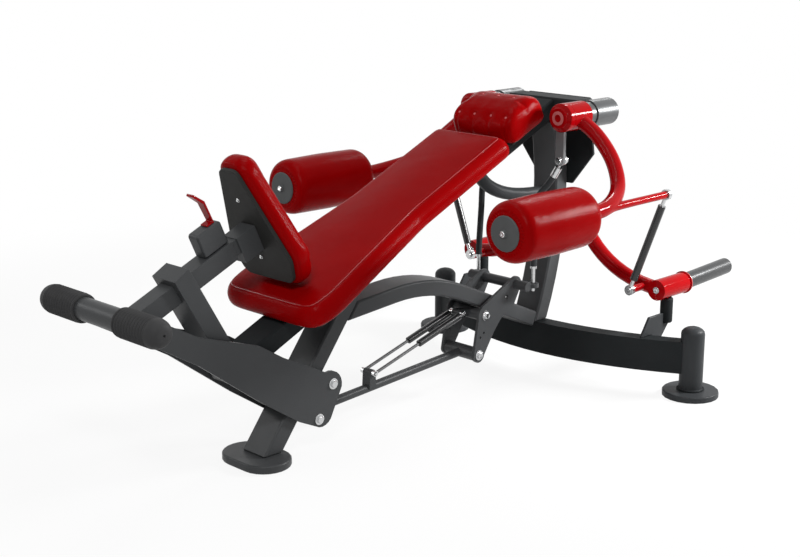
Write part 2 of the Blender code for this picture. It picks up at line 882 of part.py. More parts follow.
def build_crank(side, sign, hub_front):
    front = hub_front - play - crank_hub_l
    back = hub_front - play
    carrier = body(side + "_crank", (front, sign * hub_y, hub_z))
    dish = 0.006
    ring = hub_r * 0.74
    profile = [(dish, 0), (dish, ring * 0.42), (0, ring * 0.55), (0, ring - 0.002), (0.002, ring)]
    profile += [(0.007, ring), (0.013, hub_r), (crank_hub_l, hub_r), (crank_hub_l, 0)]
    hub = turned(profile, (front, sign * hub_y, hub_z), (1, 0, 0), 24)
    finish(side + "_crank_hub", hub, "red_paint", carrier)
    plate_x = back - 0.010 - crank_t
    half = crank_w / 2
    seat = hub_r + gap
    spread = math.asin(half / seat)
    top = arc((0, hub_z), seat, -math.pi / 2 - spread, -math.pi / 2 + spread, 8)
    low = arc((0, hub_z - crank_l), half, 0, -math.pi, 10)
    outline = [(sign * hub_y + y, z) for y, z in top + low]
    crank = finish(side + "_crank", prism(outline, "yz", plate_x, plate_x + crank_t), "grey_plate", carrier)
    eye_x = plate_x + crank_t + rod_eye_side + rod_eye_t / 2
    pin_end = eye_x + rod_eye_t / 2 + rod_eye_side
    low_z = hub_z - crank_l
    for name, low_x, high_x, radius in (
        ("head", plate_x - bolt_h, plate_x + 0.001, bolt_r * 0.8),
        ("pin", plate_x + 0.002, pin_end + 0.001, crank_pin_r),
        ("nut", pin_end, pin_end + bolt_h, bolt_r * 0.8),
    ):
        solid = rod_solid((low_x, sign * hub_y, low_z), (high_x, sign * hub_y, low_z), radius, 12)
        combine(crank, finish(side + "_crank_" + name, solid, "chrome", carrier), "UNION")
    build_crank_rod(side, sign, eye_x)


def build_crank_rod(side, sign, eye_x):
    # The rod turns on the crank's pin and its plain tip slides through the bellcrank's ring.
    top = Vector((eye_x, hub_y, hub_z - crank_l))
    carrier = body(side + "_crank_rod", (top.x, sign * top.y, top.z))
    elbow = Vector((yoke_x + 0.012, yoke_y, top.z - 0.150))
    foot = Vector((yoke_x, yoke_y, yoke_z + 0.055))
    tip = Vector((yoke_x, yoke_y, yoke_z - yoke_ring_h / 2 - 0.012))
    slant = Vector((-0.07, -0.50, -0.86)).normalized()
    socket = top + slant * 0.028
    start = socket + slant * rod_socket_l
    path = bezier(start - slant * 0.004, start + slant * 0.060, elbow + Vector((0, 0, 0.05)), elbow, 9)
    path += bezier(elbow, elbow - Vector((0, 0, 0.05)), foot + Vector((0, 0, 0.06)), foot, 5)[1:]
    rod_mesh = swept_tube(mirrored(sign, path), rod_tube_r, 10)
    rod = finish(side + "_crank_rod", rod_mesh, "anthracite", carrier)
    eye_at = (top.x, sign * top.y, top.z)
    eye = ring_solid(eye_at, (1, 0, 0), rod_eye_r, crank_pin_r + play, rod_eye_t, 14)
    neck = [top + slant * (rod_eye_r - 0.003), socket + slant * 0.002]
    cup = [socket, start]
    stem = [foot + Vector((0, 0, 0.010)), tip]
    combine(rod, finish(side + "_rod_eye", eye, "chrome", carrier), "UNION")
    for name, ends, radius in (("neck", neck, 0.004), ("cup", cup, rod_socket_r), ("tip", stem, rod_tip_r)):
        solid = rod_solid(*mirrored(sign, ends), radius, 12)
        combine(rod, finish(side + "_rod_" + name, solid, "chrome", carrier), "UNION")


# Foot lever, push rod and bellcrank
def build_lever_bracket():
    tube_end = lever_gap - play
    at = (lever_x, -tube_end, lever_z)
    tube = rod_solid(at, (lever_x, tube_end, lever_z), lever_tube_r, 16)
    bracket = finish("lever_pivot_bracket", tube, "anthracite", frame)
    face = (leg_line(1)[0] + leg_side[0] * gap, leg_line(1)[1] + leg_side[1] * gap)
    high = meet(face, leg_dir, (0, lever_z + lever_tube_r * 0.9), (1, 0))
    low = meet(face, leg_dir, (0, lever_z - lever_tube_r * 1.8), (1, 0))
    outline = [high, low, (lever_x - 0.004, lever_z - lever_tube_r * 0.8), (lever_x, lever_z + lever_tube_r * 0.9)]
    web = finish("lever_web", prism(outline, "xz", -tube_w * 0.34, tube_w * 0.34), "anthracite", frame)
    combine(bracket, web, "UNION")


def plate_spot(along, across):
    # A point of the foot lever's plates, in shares of the way from its pivot to its bar.
    reach = (bar_x - lever_x, bar_z - lever_z)
    return (
        lever_x + reach[0] * along - reach[1] * across,
        lever_z + reach[1] * along + reach[0] * across,
    )


def build_foot_lever():
    carrier = body("foot_lever", (lever_x, 0, lever_z))
    shape = [
        *arc((bar_x, bar_z), plate_nose_r, math.radians(235), math.radians(62), 8),
        plate_spot(0.786, -0.029),
        plate_spot(0.668, -0.021),
        plate_spot(0.402, -0.053),
        plate_spot(0.276, -0.038),
        *arc((lever_x - 0.012, lever_z - 0.006), plate_lobe_r, math.radians(105), math.radians(-12), 7),
        *arc((rod_pin_x + 0.010, rod_pin_z + 0.016), plate_heel_r, math.radians(-20), math.radians(-105), 5),
        plate_spot(0.105, 0.167),
        plate_spot(0.312, 0.135),
        plate_spot(0.629, 0.071),
        plate_spot(0.795, 0.054),
    ]
    lever = None
    for sign in (-1, 1):
        inner = sign * lever_gap
        outer = sign * (lever_gap + lever_t)
        plate = prism(shape, "xz", min(inner, outer), max(inner, outer))
        item = finish("foot_lever" if lever is None else "far_lever_plate", plate, "anthracite", carrier)
        if lever is None:
            lever = item
        else:
            combine(lever, item, "UNION")
    bar_half = grip_out - grip_wall - play
    bar = rod_solid((bar_x, -bar_half, bar_z), (bar_x, bar_half, bar_z), bar_r, 16)
    combine(lever, finish("foot_bar", bar, "anthracite", carrier), "UNION")
    for sign in (-1, 1):
        for x, z in ((lever_x, lever_z), (rod_pin_x, rod_pin_z)):
            inner = sign * (lever_gap + lever_t - 0.002)
            outer = sign * (lever_gap + lever_t + bolt_h)
            head = rod_solid((x, inner, z), (x, outer, z), bolt_r, 12)
            combine(lever, finish("lever_bolt", head, "chrome", carrier), "UNION")
    length = grip_out - grip_in
    profile = [(length - grip_wall, 0), (length - grip_wall, bar_r + play), (0, bar_r + play)]
    profile += [(0, grip_r - grip_rib_half), (grip_rib_half, grip_r)]
    for index in range(grip_ribs):
        at = grip_rib_from + grip_rib_step * index
        profile += [(at - grip_rib_half, grip_r), (at, grip_r - grip_rib_half), (at + grip_rib_half, grip_r)]
    for turn in (0, 30, 55, 75):
        rise = math.radians(turn)
        profile.append((length - grip_dome * (1 - math.sin(rise)), grip_r * math.cos(rise) ** 0.65))
    profile.append((length, 0))
    for side, sign in (("near", -1), ("far", 1)):
        sleeve = turned(profile, (bar_x, sign * grip_in, bar_z), (0, sign, 0), 16)
        finish(side + "_grip", sleeve, "rubber", carrier)


def build_push_rod():
    carrier = body("push_rod", (rod_pin_x, 0, rod_pin_z))
    front = Vector((rod_pin_x, 0, rod_pin_z))
    rear = Vector((bell_pin_x, 0, bell_pin_z))
    rod = finish("push_rod", rod_solid(front, rear, push_rod_r), "anthracite", carrier)
    for end, reach in ((front, lever_gap - play), (rear, bell_gap - play)):
        at = (end.x, -reach, end.z)
        tee = rod_solid(at, (end.x, reach, end.z), rod_tee_r, 18)
        combine(rod, finish("rod_tee", tee, "anthracite", carrier), "UNION")
    slope = (rear.z - front.z) / (rear.x - front.x)
    lug_half = spring_y - spring_eye_t / 2 - play
    base_z = front.z + (spring_low_x - front.x) * slope
    outline = [
        (spring_low_x - rod_lug_half, base_z),
        (spring_low_x + rod_lug_half, base_z),
        *arc((spring_low_x, spring_low_z), 0.011, 0, math.pi, 8),
    ]
    lug = finish("rod_lug", prism(outline, "xz", -lug_half, lug_half), "anthracite", carrier)
    combine(rod, lug, "UNION")
    reach = spring_y + spring_eye_t / 2 + 0.004
    pin = rod_solid((spring_low_x, -reach, spring_low_z), (spring_low_x, reach, spring_low_z), spring_pin_r, 10)
    combine(rod, finish("rod_spring_pin", pin, "chrome", carrier), "UNION")


def build_pivot_tube():
    falling = (math.cos(spine_drop), -math.sin(spine_drop))
    under = spine_edge(-1)[-2]
    distance = (under[1] - bell_z) * falling[0] - (under[0] - bell_x) * falling[1]
    radius = distance - gap * 2
    reach = bell_gap - play
    tube = rod_solid((bell_x, -reach, bell_z), (bell_x, reach, bell_z), radius, 20)
    pivot = finish("bellcrank_pivot_tube", tube, "anthracite", frame)
    lug_half = spring_y - spring_eye_t / 2 - play
    outline = [
        (bell_x, bell_z + radius * 0.5),
        *arc((spring_high_x, spring_high_z), 0.010, math.pi / 2, math.pi * 1.5, 8),
        (bell_x, bell_z - radius * 0.5),
    ]
    lug = finish("pivot_lug", prism(outline, "xz", -lug_half, lug_half), "anthracite", frame)
    combine(pivot, lug, "UNION")
    reach = spring_y + spring_eye_t / 2 + 0.004
    pin_at = (spring_high_x, -reach, spring_high_z)
    pin = rod_solid(pin_at, (spring_high_x, reach, spring_high_z), spring_pin_r, 10)
    combine(pivot, finish("pivot_spring_pin", pin, "chrome", frame), "UNION")


def build_bellcrank():
    carrier = body("bellcrank", (bell_x, 0, bell_z))
    bar_x_here = yoke_x - yoke_ring_r - yoke_bar_r + 0.004
    shape = [
        *arc((bell_x, bell_z), 0.034, math.radians(115), math.radians(195), 5),
        *arc((bell_pin_x, bell_pin_z), 0.025, math.radians(190), math.radians(350), 9),
        (bell_x + 0.040, bell_z - 0.062),
        (bell_x + 0.076, bell_z - 0.022),
        (bell_x + 0.136, bell_z + 0.010),
        *arc((bar_x_here, yoke_z), bell_arm_r, math.radians(-40), math.radians(112), 7),
    ]
    crank = None
    for sign in (-1, 1):
        inner = sign * bell_gap
        outer = sign * (bell_gap + bell_t)
        plate = prism(shape, "xz", min(inner, outer), max(inner, outer))
        item = finish("bellcrank" if crank is None else "far_bell_plate", plate, "anthracite", carrier)
        if crank is None:
            crank = item
        else:
            combine(crank, item, "UNION")
    reach = yoke_y + 0.006
    bar = rod_solid((bar_x_here, -reach, yoke_z), (bar_x_here, reach, yoke_z), yoke_bar_r, 14)
    combine(crank, finish("yoke_bar", bar, "anthracite", carrier), "UNION")
    for sign in (-1, 1):
        at = (yoke_x, sign * yoke_y, yoke_z)
        ring = ring_solid(at, (0, 0, 1), yoke_ring_r, yoke_hole_r, yoke_ring_h, 16)
        combine(crank, finish("yoke_ring", ring, "anthracite", carrier), "UNION")
        for x, z in ((bell_x, bell_z), (bell_pin_x, bell_pin_z)):
            inner = sign * (bell_gap + bell_t - 0.002)
            outer = sign * (bell_gap + bell_t + bolt_h)
            head = rod_solid((x, inner, z), (x, outer, z), bolt_r, 12)
            combine(crank, finish("bell_bolt", head, "chrome", carrier), "UNION")


def build_gas_springs():
    high = Vector((spring_high_x, 0, spring_high_z))
    low = Vector((spring_low_x, 0, spring_low_z))
    reach = (low - high).normalized()
    total = (low - high).length
    eye_r = 0.009
    neck = eye_r - 0.002
    mouth = neck + spring_body_l
    depth = 0.140
    bore = spring_rod_r + play * 2
    for side, sign in (("near", -1), ("far", 1)):
        centre = Vector((0, sign * spring_y, 0))
        carrier = body(side + "_spring_body", high + centre)
        profile = [(neck, 0), (neck, 0.005), (neck + 0.008, 0.005), (neck + 0.010, spring_body_r)]
        profile += [(mouth, spring_body_r), (mouth, bore), (mouth - depth, bore), (mouth - depth, 0)]
        shell = finish(side + "_spring_body", turned(profile, high + centre, reach, 14), "black_gloss", carrier)
        eye = ring_solid(high + centre, (0, 1, 0), eye_r, spring_pin_r + play, spring_eye_t, 12)
        combine(shell, finish(side + "_body_eye", eye, "black_gloss", carrier), "UNION")
        slider = body(side + "_spring_rod", low + centre)
        inside = total - mouth + depth * 0.4
        shaft = rod_solid(low + centre - reach * neck, low + centre - reach * inside, spring_rod_r, 10)
        rod = finish(side + "_spring_rod", shaft, "chrome", slider)
        eye = ring_solid(low + centre, (0, 1, 0), eye_r, spring_pin_r + pin_play, spring_eye_t, 12)
        combine(rod, finish(side + "_rod_low_eye", eye, "black_gloss", slider), "UNION")


# Upholstery
def inset_outline(outline, amount):
    # Moves each point of a closed outline inwards along its own normal.
    moved = []
    count = len(outline)
    for index, point in enumerate(outline):
        before = Vector(outline[index - 1])
        after = Vector(outline[(index + 1) % count])
        heading = (after - before).normalized()
        moved.append(Vector(point) + Vector((-heading.y, heading.x)) * amount)
    return moved


def cushion(outline, layers, spot):
    # Layers of (inset, shrink, height) from the underside to the crown; the outline runs anticlockwise.
    bm = bmesh.new()
    middle = sum((Vector(point) for point in outline), Vector((0, 0))) / len(outline)
    rings = []
    for inset, shrink, height in layers:
        ring = []
        for point in inset_outline(outline, inset):
            drawn = middle + (point - middle) * shrink
            ring.append(bm.verts.new(spot(drawn.x, drawn.y, height)))
        rings.append(ring)
    count = len(outline)
    for low, high in zip(rings, rings[1:]):
        for index in range(count):
            after = (index + 1) % count
            bm.faces.new((low[index], low[after], high[after], high[index]))
    bm.faces.new(rings[0])
    bm.faces.new(rings[-1])
    return bm


def puffed(low, thick):
    # Sides drawn in at the base and under the top seam, then a shallow crown.
    return [
        (0.006, 1.00, low), (0.001, 1.00, low + thick * 0.14), (0.000, 1.00, low + thick * 0.40),
        (0.003, 1.00, low + thick * 0.66), (0.008, 1.00, low + thick * 0.82),
        (0.018, 1.00, low + thick * 0.92), (0.022, 0.93, low + thick * 0.97),
        (0.022, 0.70, low + thick), (0.022, 0.35, low + thick),
    ]


def rounded(corners, steps):
    # An outline of (u, v, radius) corners, each turned into an arc of points.
    points = []
    count = len(corners)
    for index, (u, v, radius) in enumerate(corners):
        here = Vector((u, v))
        before = Vector(corners[index - 1][:2]) - here
        after = Vector(corners[(index + 1) % count][:2]) - here
        half = before.angle(after) / 2
        cut = radius / math.tan(half)
        first = here + before.normalized() * cut
        last = here + after.normalized() * cut
        middle = here + (before.normalized() + after.normalized()).normalized() * radius / math.sin(half)
        for step in range(steps + 1):
            s = step / steps
            blend = first.lerp(last, s) - middle
            points.append(middle + blend.normalized() * radius)
    return points


def build_back_pad():
    corners = [
        (back_low, -back_half_low, 0.045),
        (back_shoulder, -back_half_low, 0.120),
        (back_waist, -back_half_high, 0.400),
        (back_high, -back_half_high, 0.030),
        (back_high, back_half_high, 0.030),
        (back_waist, back_half_high, 0.400),
        (back_shoulder, back_half_low, 0.120),
        (back_low, back_half_low, 0.045),
    ]
    outline = rounded(corners, 5)
    board_low = pad_beam_m + gap
    board_top = board_low + liner_t
    spot = lambda u, v, height: inclined_3d(u, v, height)
    board = cushion(outline, [(0.022, 1, board_low), (0.022, 1, board_top)], spot)
    finish("back_board", board, "dark_board", frame)
    pad = cushion(outline, puffed(board_top + gap, back_thick), spot)
    finish("back_pad", pad, "red_vinyl", frame)


def build_seat():
    carrier = body("seat", inclined_3d(rail_high, 0, rail_m))
    half = stem_s / 2
    stem = inclined_box(rail_high - stem_in, seat_plane - plate_t, rail_m - half, rail_m + half, half)
    slide = finish("seat_stem", stem, "anthracite", carrier, False)
    low, high = rail_m - seat_block_low, rail_m + seat_block_high
    block = inclined_box(seat_plane - gap - seat_block_l, seat_plane - gap, low, high, seat_block_half)
    combine(slide, finish("seat_block", block, "anthracite", carrier, False), "UNION")
    corners = [
        (seat_low, -seat_low_half * 0.80, 0.040),
        (seat_low + 0.085, -seat_low_half, 0.060),
        (seat_high, -seat_top_half - 0.004, 0.034),
        (seat_high, seat_top_half + 0.004, 0.034),
        (seat_low + 0.085, seat_low_half, 0.060),
        (seat_low, seat_low_half * 0.80, 0.040),
    ]
    outline = [Vector((point.y, point.x)) for point in reversed(rounded(corners, 5))]
    spot = lambda u, v, height: inclined_3d(height, u, v)
    board_top = seat_plane + board_t
    board = cushion(outline, [(0.008, 1, seat_plane), (0.008, 1, board_top)], spot)
    finish("seat_board", board, "dark_board", carrier)
    pad = cushion(outline, puffed(board_top + gap, seat_thick), spot)
    finish("seat_pad", pad, "red_vinyl", carrier)


def build_head_pad():
    board_low = pad_beam_m + gap
    board_top = board_low + liner_t
    half = head_half - 0.022
    board = inclined_box(head_low + 0.020, head_high - 0.030, board_low, board_top, half)
    finish("head_board", board, "dark_board", frame, False)
    middle = (head_low + head_high) / 2
    reach = (head_high - head_low) / 2
    base = board_top + gap
    bm = bmesh.new()
    around = 24
    stations = [-1.0, -0.985, -0.95, -0.88, -0.75, -0.6, -0.45, -0.3, -0.15]
    stations = stations + [0.0] + [-value for value in reversed(stations)]
    buttons = [(-0.60, 0.62), (-0.20, 0.62), (0.20, 0.62), (0.60, 0.62)]
    rings = []
    for station in stations:
        draw = math.sqrt(max(0.0, 1 - abs(station) ** 14)) * 0.10 + 0.90
        ring = []
        for step in range(around):
            turn = math.tau * step / around
            u = -math.cos(turn)
            v = math.sin(turn)
            power = 0.75 if v > 0 else 0.35
            wide = math.copysign(abs(u) ** power, u) * reach * draw
            tall = math.copysign(abs(v) ** power, v)
            height = head_thick * (0.42 + 0.58 * tall * draw) if tall > 0 else head_thick * 0.42 * (1 + tall)
            dent = 0.0
            for across, place in buttons:
                away = math.hypot((station - across) * 3.2, (turn / math.pi - place + 0.25) * 4.0)
                dent += 0.007 * math.exp(-away * away * 3)
            point = inclined_3d(middle + wide * (1 - dent * 3), station * head_half, base + height - dent)
            ring.append(bm.verts.new(point))
        rings.append(ring)
    for near, far in zip(rings, rings[1:]):
        for index in range(around):
            after = (index + 1) % around
            bm.faces.new((near[index], near[after], far[after], far[index]))
    bm.faces.new(rings[0])
    bm.faces.new(rings[-1])
    finish("head_pad", bm, "red_vinyl", frame)


clear_scene()
materials = make_materials()
machine = bpy.data.objects.new("machine", None)
front_reach = bar_x - grip_r
rear_reach = boss_front + boss_l - horn_sunk + horn_l * math.cos(horn_rise)
rear_reach += (horn_r - 0.006) * math.sin(horn_rise)
machine.location = (-(front_reach + rear_reach) / 2, 0, 0)
bpy.context.collection.objects.link(machine)
frame = body("frame")
build_feet()
build_beam()
build_leg()
build_spine()
build_upright()
build_pad_beam()
build_seat_post()
build_rail()
build_latch()
build_crossmember()
build_housings()
build_brace()
build_weight_mount()
build_bumpers()
build_weight_levers()
build_links()
build_arms()
build_lever_bracket()
build_foot_lever()
build_push_rod()
build_pivot_tube()
build_bellcrank()
build_gas_springs()
build_back_pad()
build_seat()
build_head_pad()
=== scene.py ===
import json
import math

import bpy
import numpy as np
from mathutils import Matrix, Vector
from mathutils.bvhtree import BVHTree

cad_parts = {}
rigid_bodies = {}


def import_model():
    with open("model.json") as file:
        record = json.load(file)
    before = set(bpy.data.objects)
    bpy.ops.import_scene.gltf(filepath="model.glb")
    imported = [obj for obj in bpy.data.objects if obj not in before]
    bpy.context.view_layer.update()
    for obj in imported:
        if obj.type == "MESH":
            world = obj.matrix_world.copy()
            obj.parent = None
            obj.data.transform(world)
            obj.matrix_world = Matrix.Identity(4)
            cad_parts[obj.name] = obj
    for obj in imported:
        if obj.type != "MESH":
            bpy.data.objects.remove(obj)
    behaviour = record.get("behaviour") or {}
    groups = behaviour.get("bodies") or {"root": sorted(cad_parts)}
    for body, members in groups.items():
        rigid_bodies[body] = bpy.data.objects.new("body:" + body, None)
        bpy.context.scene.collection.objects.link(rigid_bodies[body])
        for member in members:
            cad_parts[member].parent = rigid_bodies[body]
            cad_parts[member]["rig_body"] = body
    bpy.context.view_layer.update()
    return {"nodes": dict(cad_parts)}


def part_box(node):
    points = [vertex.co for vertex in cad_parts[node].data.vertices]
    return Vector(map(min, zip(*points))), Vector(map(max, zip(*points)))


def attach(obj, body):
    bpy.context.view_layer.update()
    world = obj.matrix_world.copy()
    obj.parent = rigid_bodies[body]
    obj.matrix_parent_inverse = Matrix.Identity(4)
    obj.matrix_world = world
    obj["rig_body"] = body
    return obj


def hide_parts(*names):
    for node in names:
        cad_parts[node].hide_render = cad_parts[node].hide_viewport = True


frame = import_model()
nodes = frame["nodes"]
print("frame loaded,", len(nodes), "nodes")

# The machine's own layout, in metres: X runs from the two rear posts, across is square to the incline
layout = {
    "shift": 0.7341534,          # from the layout's X to the frame's
    "incline": math.radians(24),
    "sides": (("near", -1), ("far", 1)),
}


def spot(x, y, z):
    return Vector((x + layout["shift"], y, z))


def onIncline(along, y, across):
    cosine, sine = math.cos(layout["incline"]), math.sin(layout["incline"])
    return spot(along * cosine - across * sine, y, along * sine + across * cosine)


# Camera: the photograph's own view
camera = {
    "place": (-2.97907, -2.93852, 1.50666),
    "yaw": math.radians(45.02),
    "pitch": math.radians(14.54),
    "lens": 63.89,
    "sensorWidth": 36.0,
    "clipEnd": 100.0,
}


def setCamera():
    bpy.ops.object.camera_add(location=camera["place"])
    item = bpy.context.object
    item.rotation_euler = (math.pi / 2 - camera["pitch"], 0, camera["yaw"] - math.pi / 2)
    item.data.lens = camera["lens"]
    item.data.sensor_width = camera["sensorWidth"]
    item.data.clip_end = camera["clipEnd"]
    bpy.context.scene.camera = item


setCamera()
bpy.context.scene.view_settings.view_transform = "Standard"


# Materials
class Flow:
    # Wraps one socket of a node tree, so that sums and products of sockets add Math nodes
    def __init__(self, tree, socket=None):
        self.tree = tree
        self.socket = socket

    def node(self, kind, settings, inputs, output=0):
        made = self.tree.nodes.new(kind)
        for name, value in settings.items():
            setattr(made, name, value)
        for name, value in inputs.items():
            if isinstance(value, Flow):
                self.tree.links.new(value.socket, made.inputs[name])
            else:
                made.inputs[name].default_value = value
        return Flow(self.tree, made.outputs[output])

    def maths(self, operation, first, second=0.0):
        return self.node("ShaderNodeMath", {"operation": operation}, {0: first, 1: second})

    def __add__(self, other):
        return self.maths("ADD", self, other)

    __radd__ = __add__

    def __mul__(self, other):
        return self.maths("MULTIPLY", self, other)

    __rmul__ = __mul__

    def __sub__(self, other):
        return self.maths("SUBTRACT", self, other)

    def __rsub__(self, other):
        return self.maths("SUBTRACT", other, self)

    def __gt__(self, other):
        return self.maths("GREATER_THAN", self, other)

    def __lt__(self, other):
        return self.maths("LESS_THAN", self, other)


def noiseAt(flow, where, size, detail):
    return flow.node("ShaderNodeTexNoise", {}, {"Vector": where, "Scale": 1 / size, "Detail": detail})


def cellsAt(flow, where, size, smoothness):
    inputs = {"Vector": where, "Scale": 1 / size, "Smoothness": smoothness}
    return flow.node("ShaderNodeTexVoronoi", {"feature": "SMOOTH_F1"}, inputs)


def axesOf(flow, where):
    split = flow.node("ShaderNodeSeparateXYZ", {}, {"Vector": where})
    return [Flow(flow.tree, output) for output in split.socket.node.outputs]


def blendColours(flow, factor, first, second):
    inputs = {0: factor, 6: first, 7: second}
    return flow.node("ShaderNodeMix", {"data_type": "RGBA"}, inputs, 2)


def tone(colour):
    return (*colour, 1.0)


# Fine relief: its spacing and height in metres, and the noise's detail or the cells' smoothness
relief = {
    "peelFine": (0.0022, 0.00006, 2.0), "peelWide": (0.011, 0.00010, 2.0),
    "grainCells": (0.0016, 0.00022, 0.6), "grainFine": (0.0007, 0.00005, 2.0),
    "grainFolds": (0.060, 0.0016, 3.0), "metalFine": (0.0030, 0.00002, 2.0),
    "rubberFine": (0.0009, 0.00016, 3.0), "rubberWide": (0.006, 0.00012, 2.0),
}


def ripple(flow, where, kind):
    size, height, detail = relief[kind]
    return noiseAt(flow, where, size, detail) * height


def orangePeel(flow, where):
    return ripple(flow, where, "peelFine") + ripple(flow, where, "peelWide")


def vinylGrain(flow, where):
    size, height, smoothness = relief["grainCells"]
    cells = cellsAt(flow, where, size, smoothness) * height
    return cells + ripple(flow, where, "grainFine") + ripple(flow, where, "grainFolds")


def rubberSkin(flow, where):
    return ripple(flow, where, "rubberFine") + ripple(flow, where, "rubberWide")


def metalSkin(flow, where):
    return ripple(flow, where, "metalFine")


finishes = {
    "powderCoat": {
        "colour": (0.052, 0.054, 0.056), "shade": (0.042, 0.044, 0.046), "cloud": 0.12,
        "rough": (0.34, 0.44), "metal": 0.0, "relief": orangePeel, "gloss": 0.14,
    },
    # The powder coat again, darker: painted shade on the rear posts, bumper brackets, brace and crank rods
    "halfShadeCoat": {
        "colour": (0.034, 0.036, 0.038), "shade": (0.026, 0.028, 0.030), "cloud": 0.12,
        "rough": (0.36, 0.46), "metal": 0.0, "relief": orangePeel, "gloss": 0.08,
    },
    # Painted reflection: a pale pink for the lit ring on the front of each crank hub
    "sheenRed": {
        "colour": (0.430, 0.120, 0.120), "shade": (0.370, 0.095, 0.095), "cloud": 0.02,
        "rough": (0.30, 0.40), "metal": 0.0, "relief": metalSkin, "gloss": 0.20,
    },
    # Darker still: painted shade on the beams, gusset, crossmember and pivot mount; the black rubber
    # bumpers and the weld beads share it
    "blackAndShadeCoat": {
        "colour": (0.020, 0.022, 0.023), "shade": (0.014, 0.016, 0.017), "cloud": 0.12,
        "rough": (0.40, 0.52), "metal": 0.0, "relief": orangePeel, "gloss": 0.025,
    },
    "redEnamel": {
        "colour": (0.290, 0.0012, 0.0028), "shade": (0.240, 0.0010, 0.0022), "cloud": 0.09,
        "rough": (0.06, 0.10), "metal": 0.0, "relief": metalSkin, "gloss": 0.060,
    },
    "redVinyl": {
        "colour": (0.270, 0.0006, 0.0012), "shade": (0.220, 0.0004, 0.0009), "cloud": 0.10,
        "rough": (0.17, 0.23), "metal": 0.0, "relief": vinylGrain, "gloss": 0.020,
    },
    # The welt's vinyl, paler and pinker than the pad: a painted highlight along the seam
    "pipingHighlight": {
        "colour": (0.330, 0.0100, 0.0120), "shade": (0.280, 0.0080, 0.0100), "cloud": 0.05,
        "rough": (0.20, 0.28), "metal": 0.0, "relief": metalSkin, "gloss": 0.45,
    },
    # A paler pink than the vinyl, so that the head pad's buttons show as light dots
    "thread": {
        "colour": (0.520, 0.110, 0.115), "shade": (0.420, 0.080, 0.085), "cloud": 0.02,
        "rough": (0.46, 0.60), "metal": 0.0, "relief": rubberSkin, "gloss": 0.30,
    },
    "darkBoard": {
        "colour": (0.030, 0.030, 0.029), "shade": (0.023, 0.023, 0.022), "cloud": 0.05,
        "rough": (0.48, 0.60), "metal": 0.0, "relief": rubberSkin, "gloss": 0.08,
    },
    "gunmetal": {
        "colour": (0.085, 0.088, 0.090), "shade": (0.066, 0.069, 0.071), "cloud": 0.06,
        "rough": (0.28, 0.36), "metal": 0.40, "relief": metalSkin, "gloss": 0.25,
    },
    # Darker than the housings' gunmetal: the horns' steel with painted shade on their sides
    "hornShadeSteel": {
        "colour": (0.045, 0.046, 0.047), "shade": (0.036, 0.037, 0.038), "cloud": 0.06,
        "rough": (0.26, 0.34), "metal": 0.30, "relief": metalSkin, "gloss": 0.2,
    },
    "chrome": {
        "colour": (0.620, 0.625, 0.630), "shade": (0.520, 0.525, 0.530), "cloud": 0.03,
        "rough": (0.12, 0.24), "metal": 1.0, "relief": metalSkin, "gloss": 0.5,
    },
    "darkSteel": {
        "colour": (0.200, 0.203, 0.206), "shade": (0.150, 0.153, 0.156), "cloud": 0.03,
        "rough": (0.14, 0.24), "metal": 1.0, "relief": metalSkin, "gloss": 0.5,
    },
    "rubber": {
        "colour": (0.044, 0.044, 0.045), "shade": (0.036, 0.036, 0.037), "cloud": 0.03,
        "rough": (0.48, 0.62), "metal": 0.0, "relief": rubberSkin, "gloss": 0.10,
    },
    "greyPlate": {
        "colour": (0.200, 0.205, 0.210), "shade": (0.150, 0.154, 0.158), "cloud": 0.04,
        "rough": (0.36, 0.48), "metal": 0.6, "relief": metalSkin, "gloss": 0.5,
    },
    "blackGloss": {
        "colour": (0.016, 0.016, 0.017), "shade": (0.011, 0.011, 0.012), "cloud": 0.04,
        "rough": (0.18, 0.28), "metal": 0.0, "relief": metalSkin, "gloss": 0.5,
    },
    "capGrey": {
        "colour": (0.085, 0.089, 0.090), "shade": (0.070, 0.074, 0.075), "cloud": 0.03,
        "rough": (0.44, 0.58), "metal": 0.0, "relief": rubberSkin, "gloss": 0.12,
    },
}


# Clouds of the second shade, and the smaller patches of roughness among them
clouding = {"detail": 3.0, "patchShare": 0.35, "patchDetail": 4.0}


def makeFinish(name, first, second=None, mask=None):
    # One finish, or two of them split by a mask that is a function of the place
    material = bpy.data.materials.new(name)
    material.use_nodes = True
    tree = material.node_tree
    shader = tree.nodes["Principled BSDF"]
    flow = Flow(tree)
    where = flow.node("ShaderNodeTexCoord", {}, {}, "Object")
    looks = []
    for recipe in [first] + ([second] if second else []):
        cloud = noiseAt(flow, where, recipe["cloud"], clouding["detail"])
        colour = blendColours(flow, cloud, tone(recipe["colour"]), tone(recipe["shade"]))
        patches = noiseAt(flow, where, recipe["cloud"] * clouding["patchShare"], clouding["patchDetail"])
        low, high = recipe["rough"]
        looks.append((colour, patches * (high - low) + low, recipe["metal"]))
    colour, rough, metal = looks[0]
    if second:
        share = mask(flow, where)
        colour = blendColours(flow, share, looks[0][0], looks[1][0])
        rough = looks[0][1] * (1 - share) + looks[1][1] * share
        metal = share * (second["metal"] - first["metal"]) + first["metal"]
    height = first["relief"](flow, where)
    bump = flow.node("ShaderNodeBump", {}, {"Height": height, "Strength": 1.0, "Distance": 1.0})
    tree.links.new(colour.socket, shader.inputs["Base Color"])
    tree.links.new(rough.socket, shader.inputs["Roughness"])
    if isinstance(metal, Flow):
        tree.links.new(metal.socket, shader.inputs["Metallic"])
    else:
        shader.inputs["Metallic"].default_value = metal
    tree.links.new(bump.socket, shader.inputs["Normal"])
    shader.inputs["Specular IOR Level"].default_value = first["gloss"]
    return material


materials = {name: makeFinish(name, recipe) for name, recipe in finishes.items()}


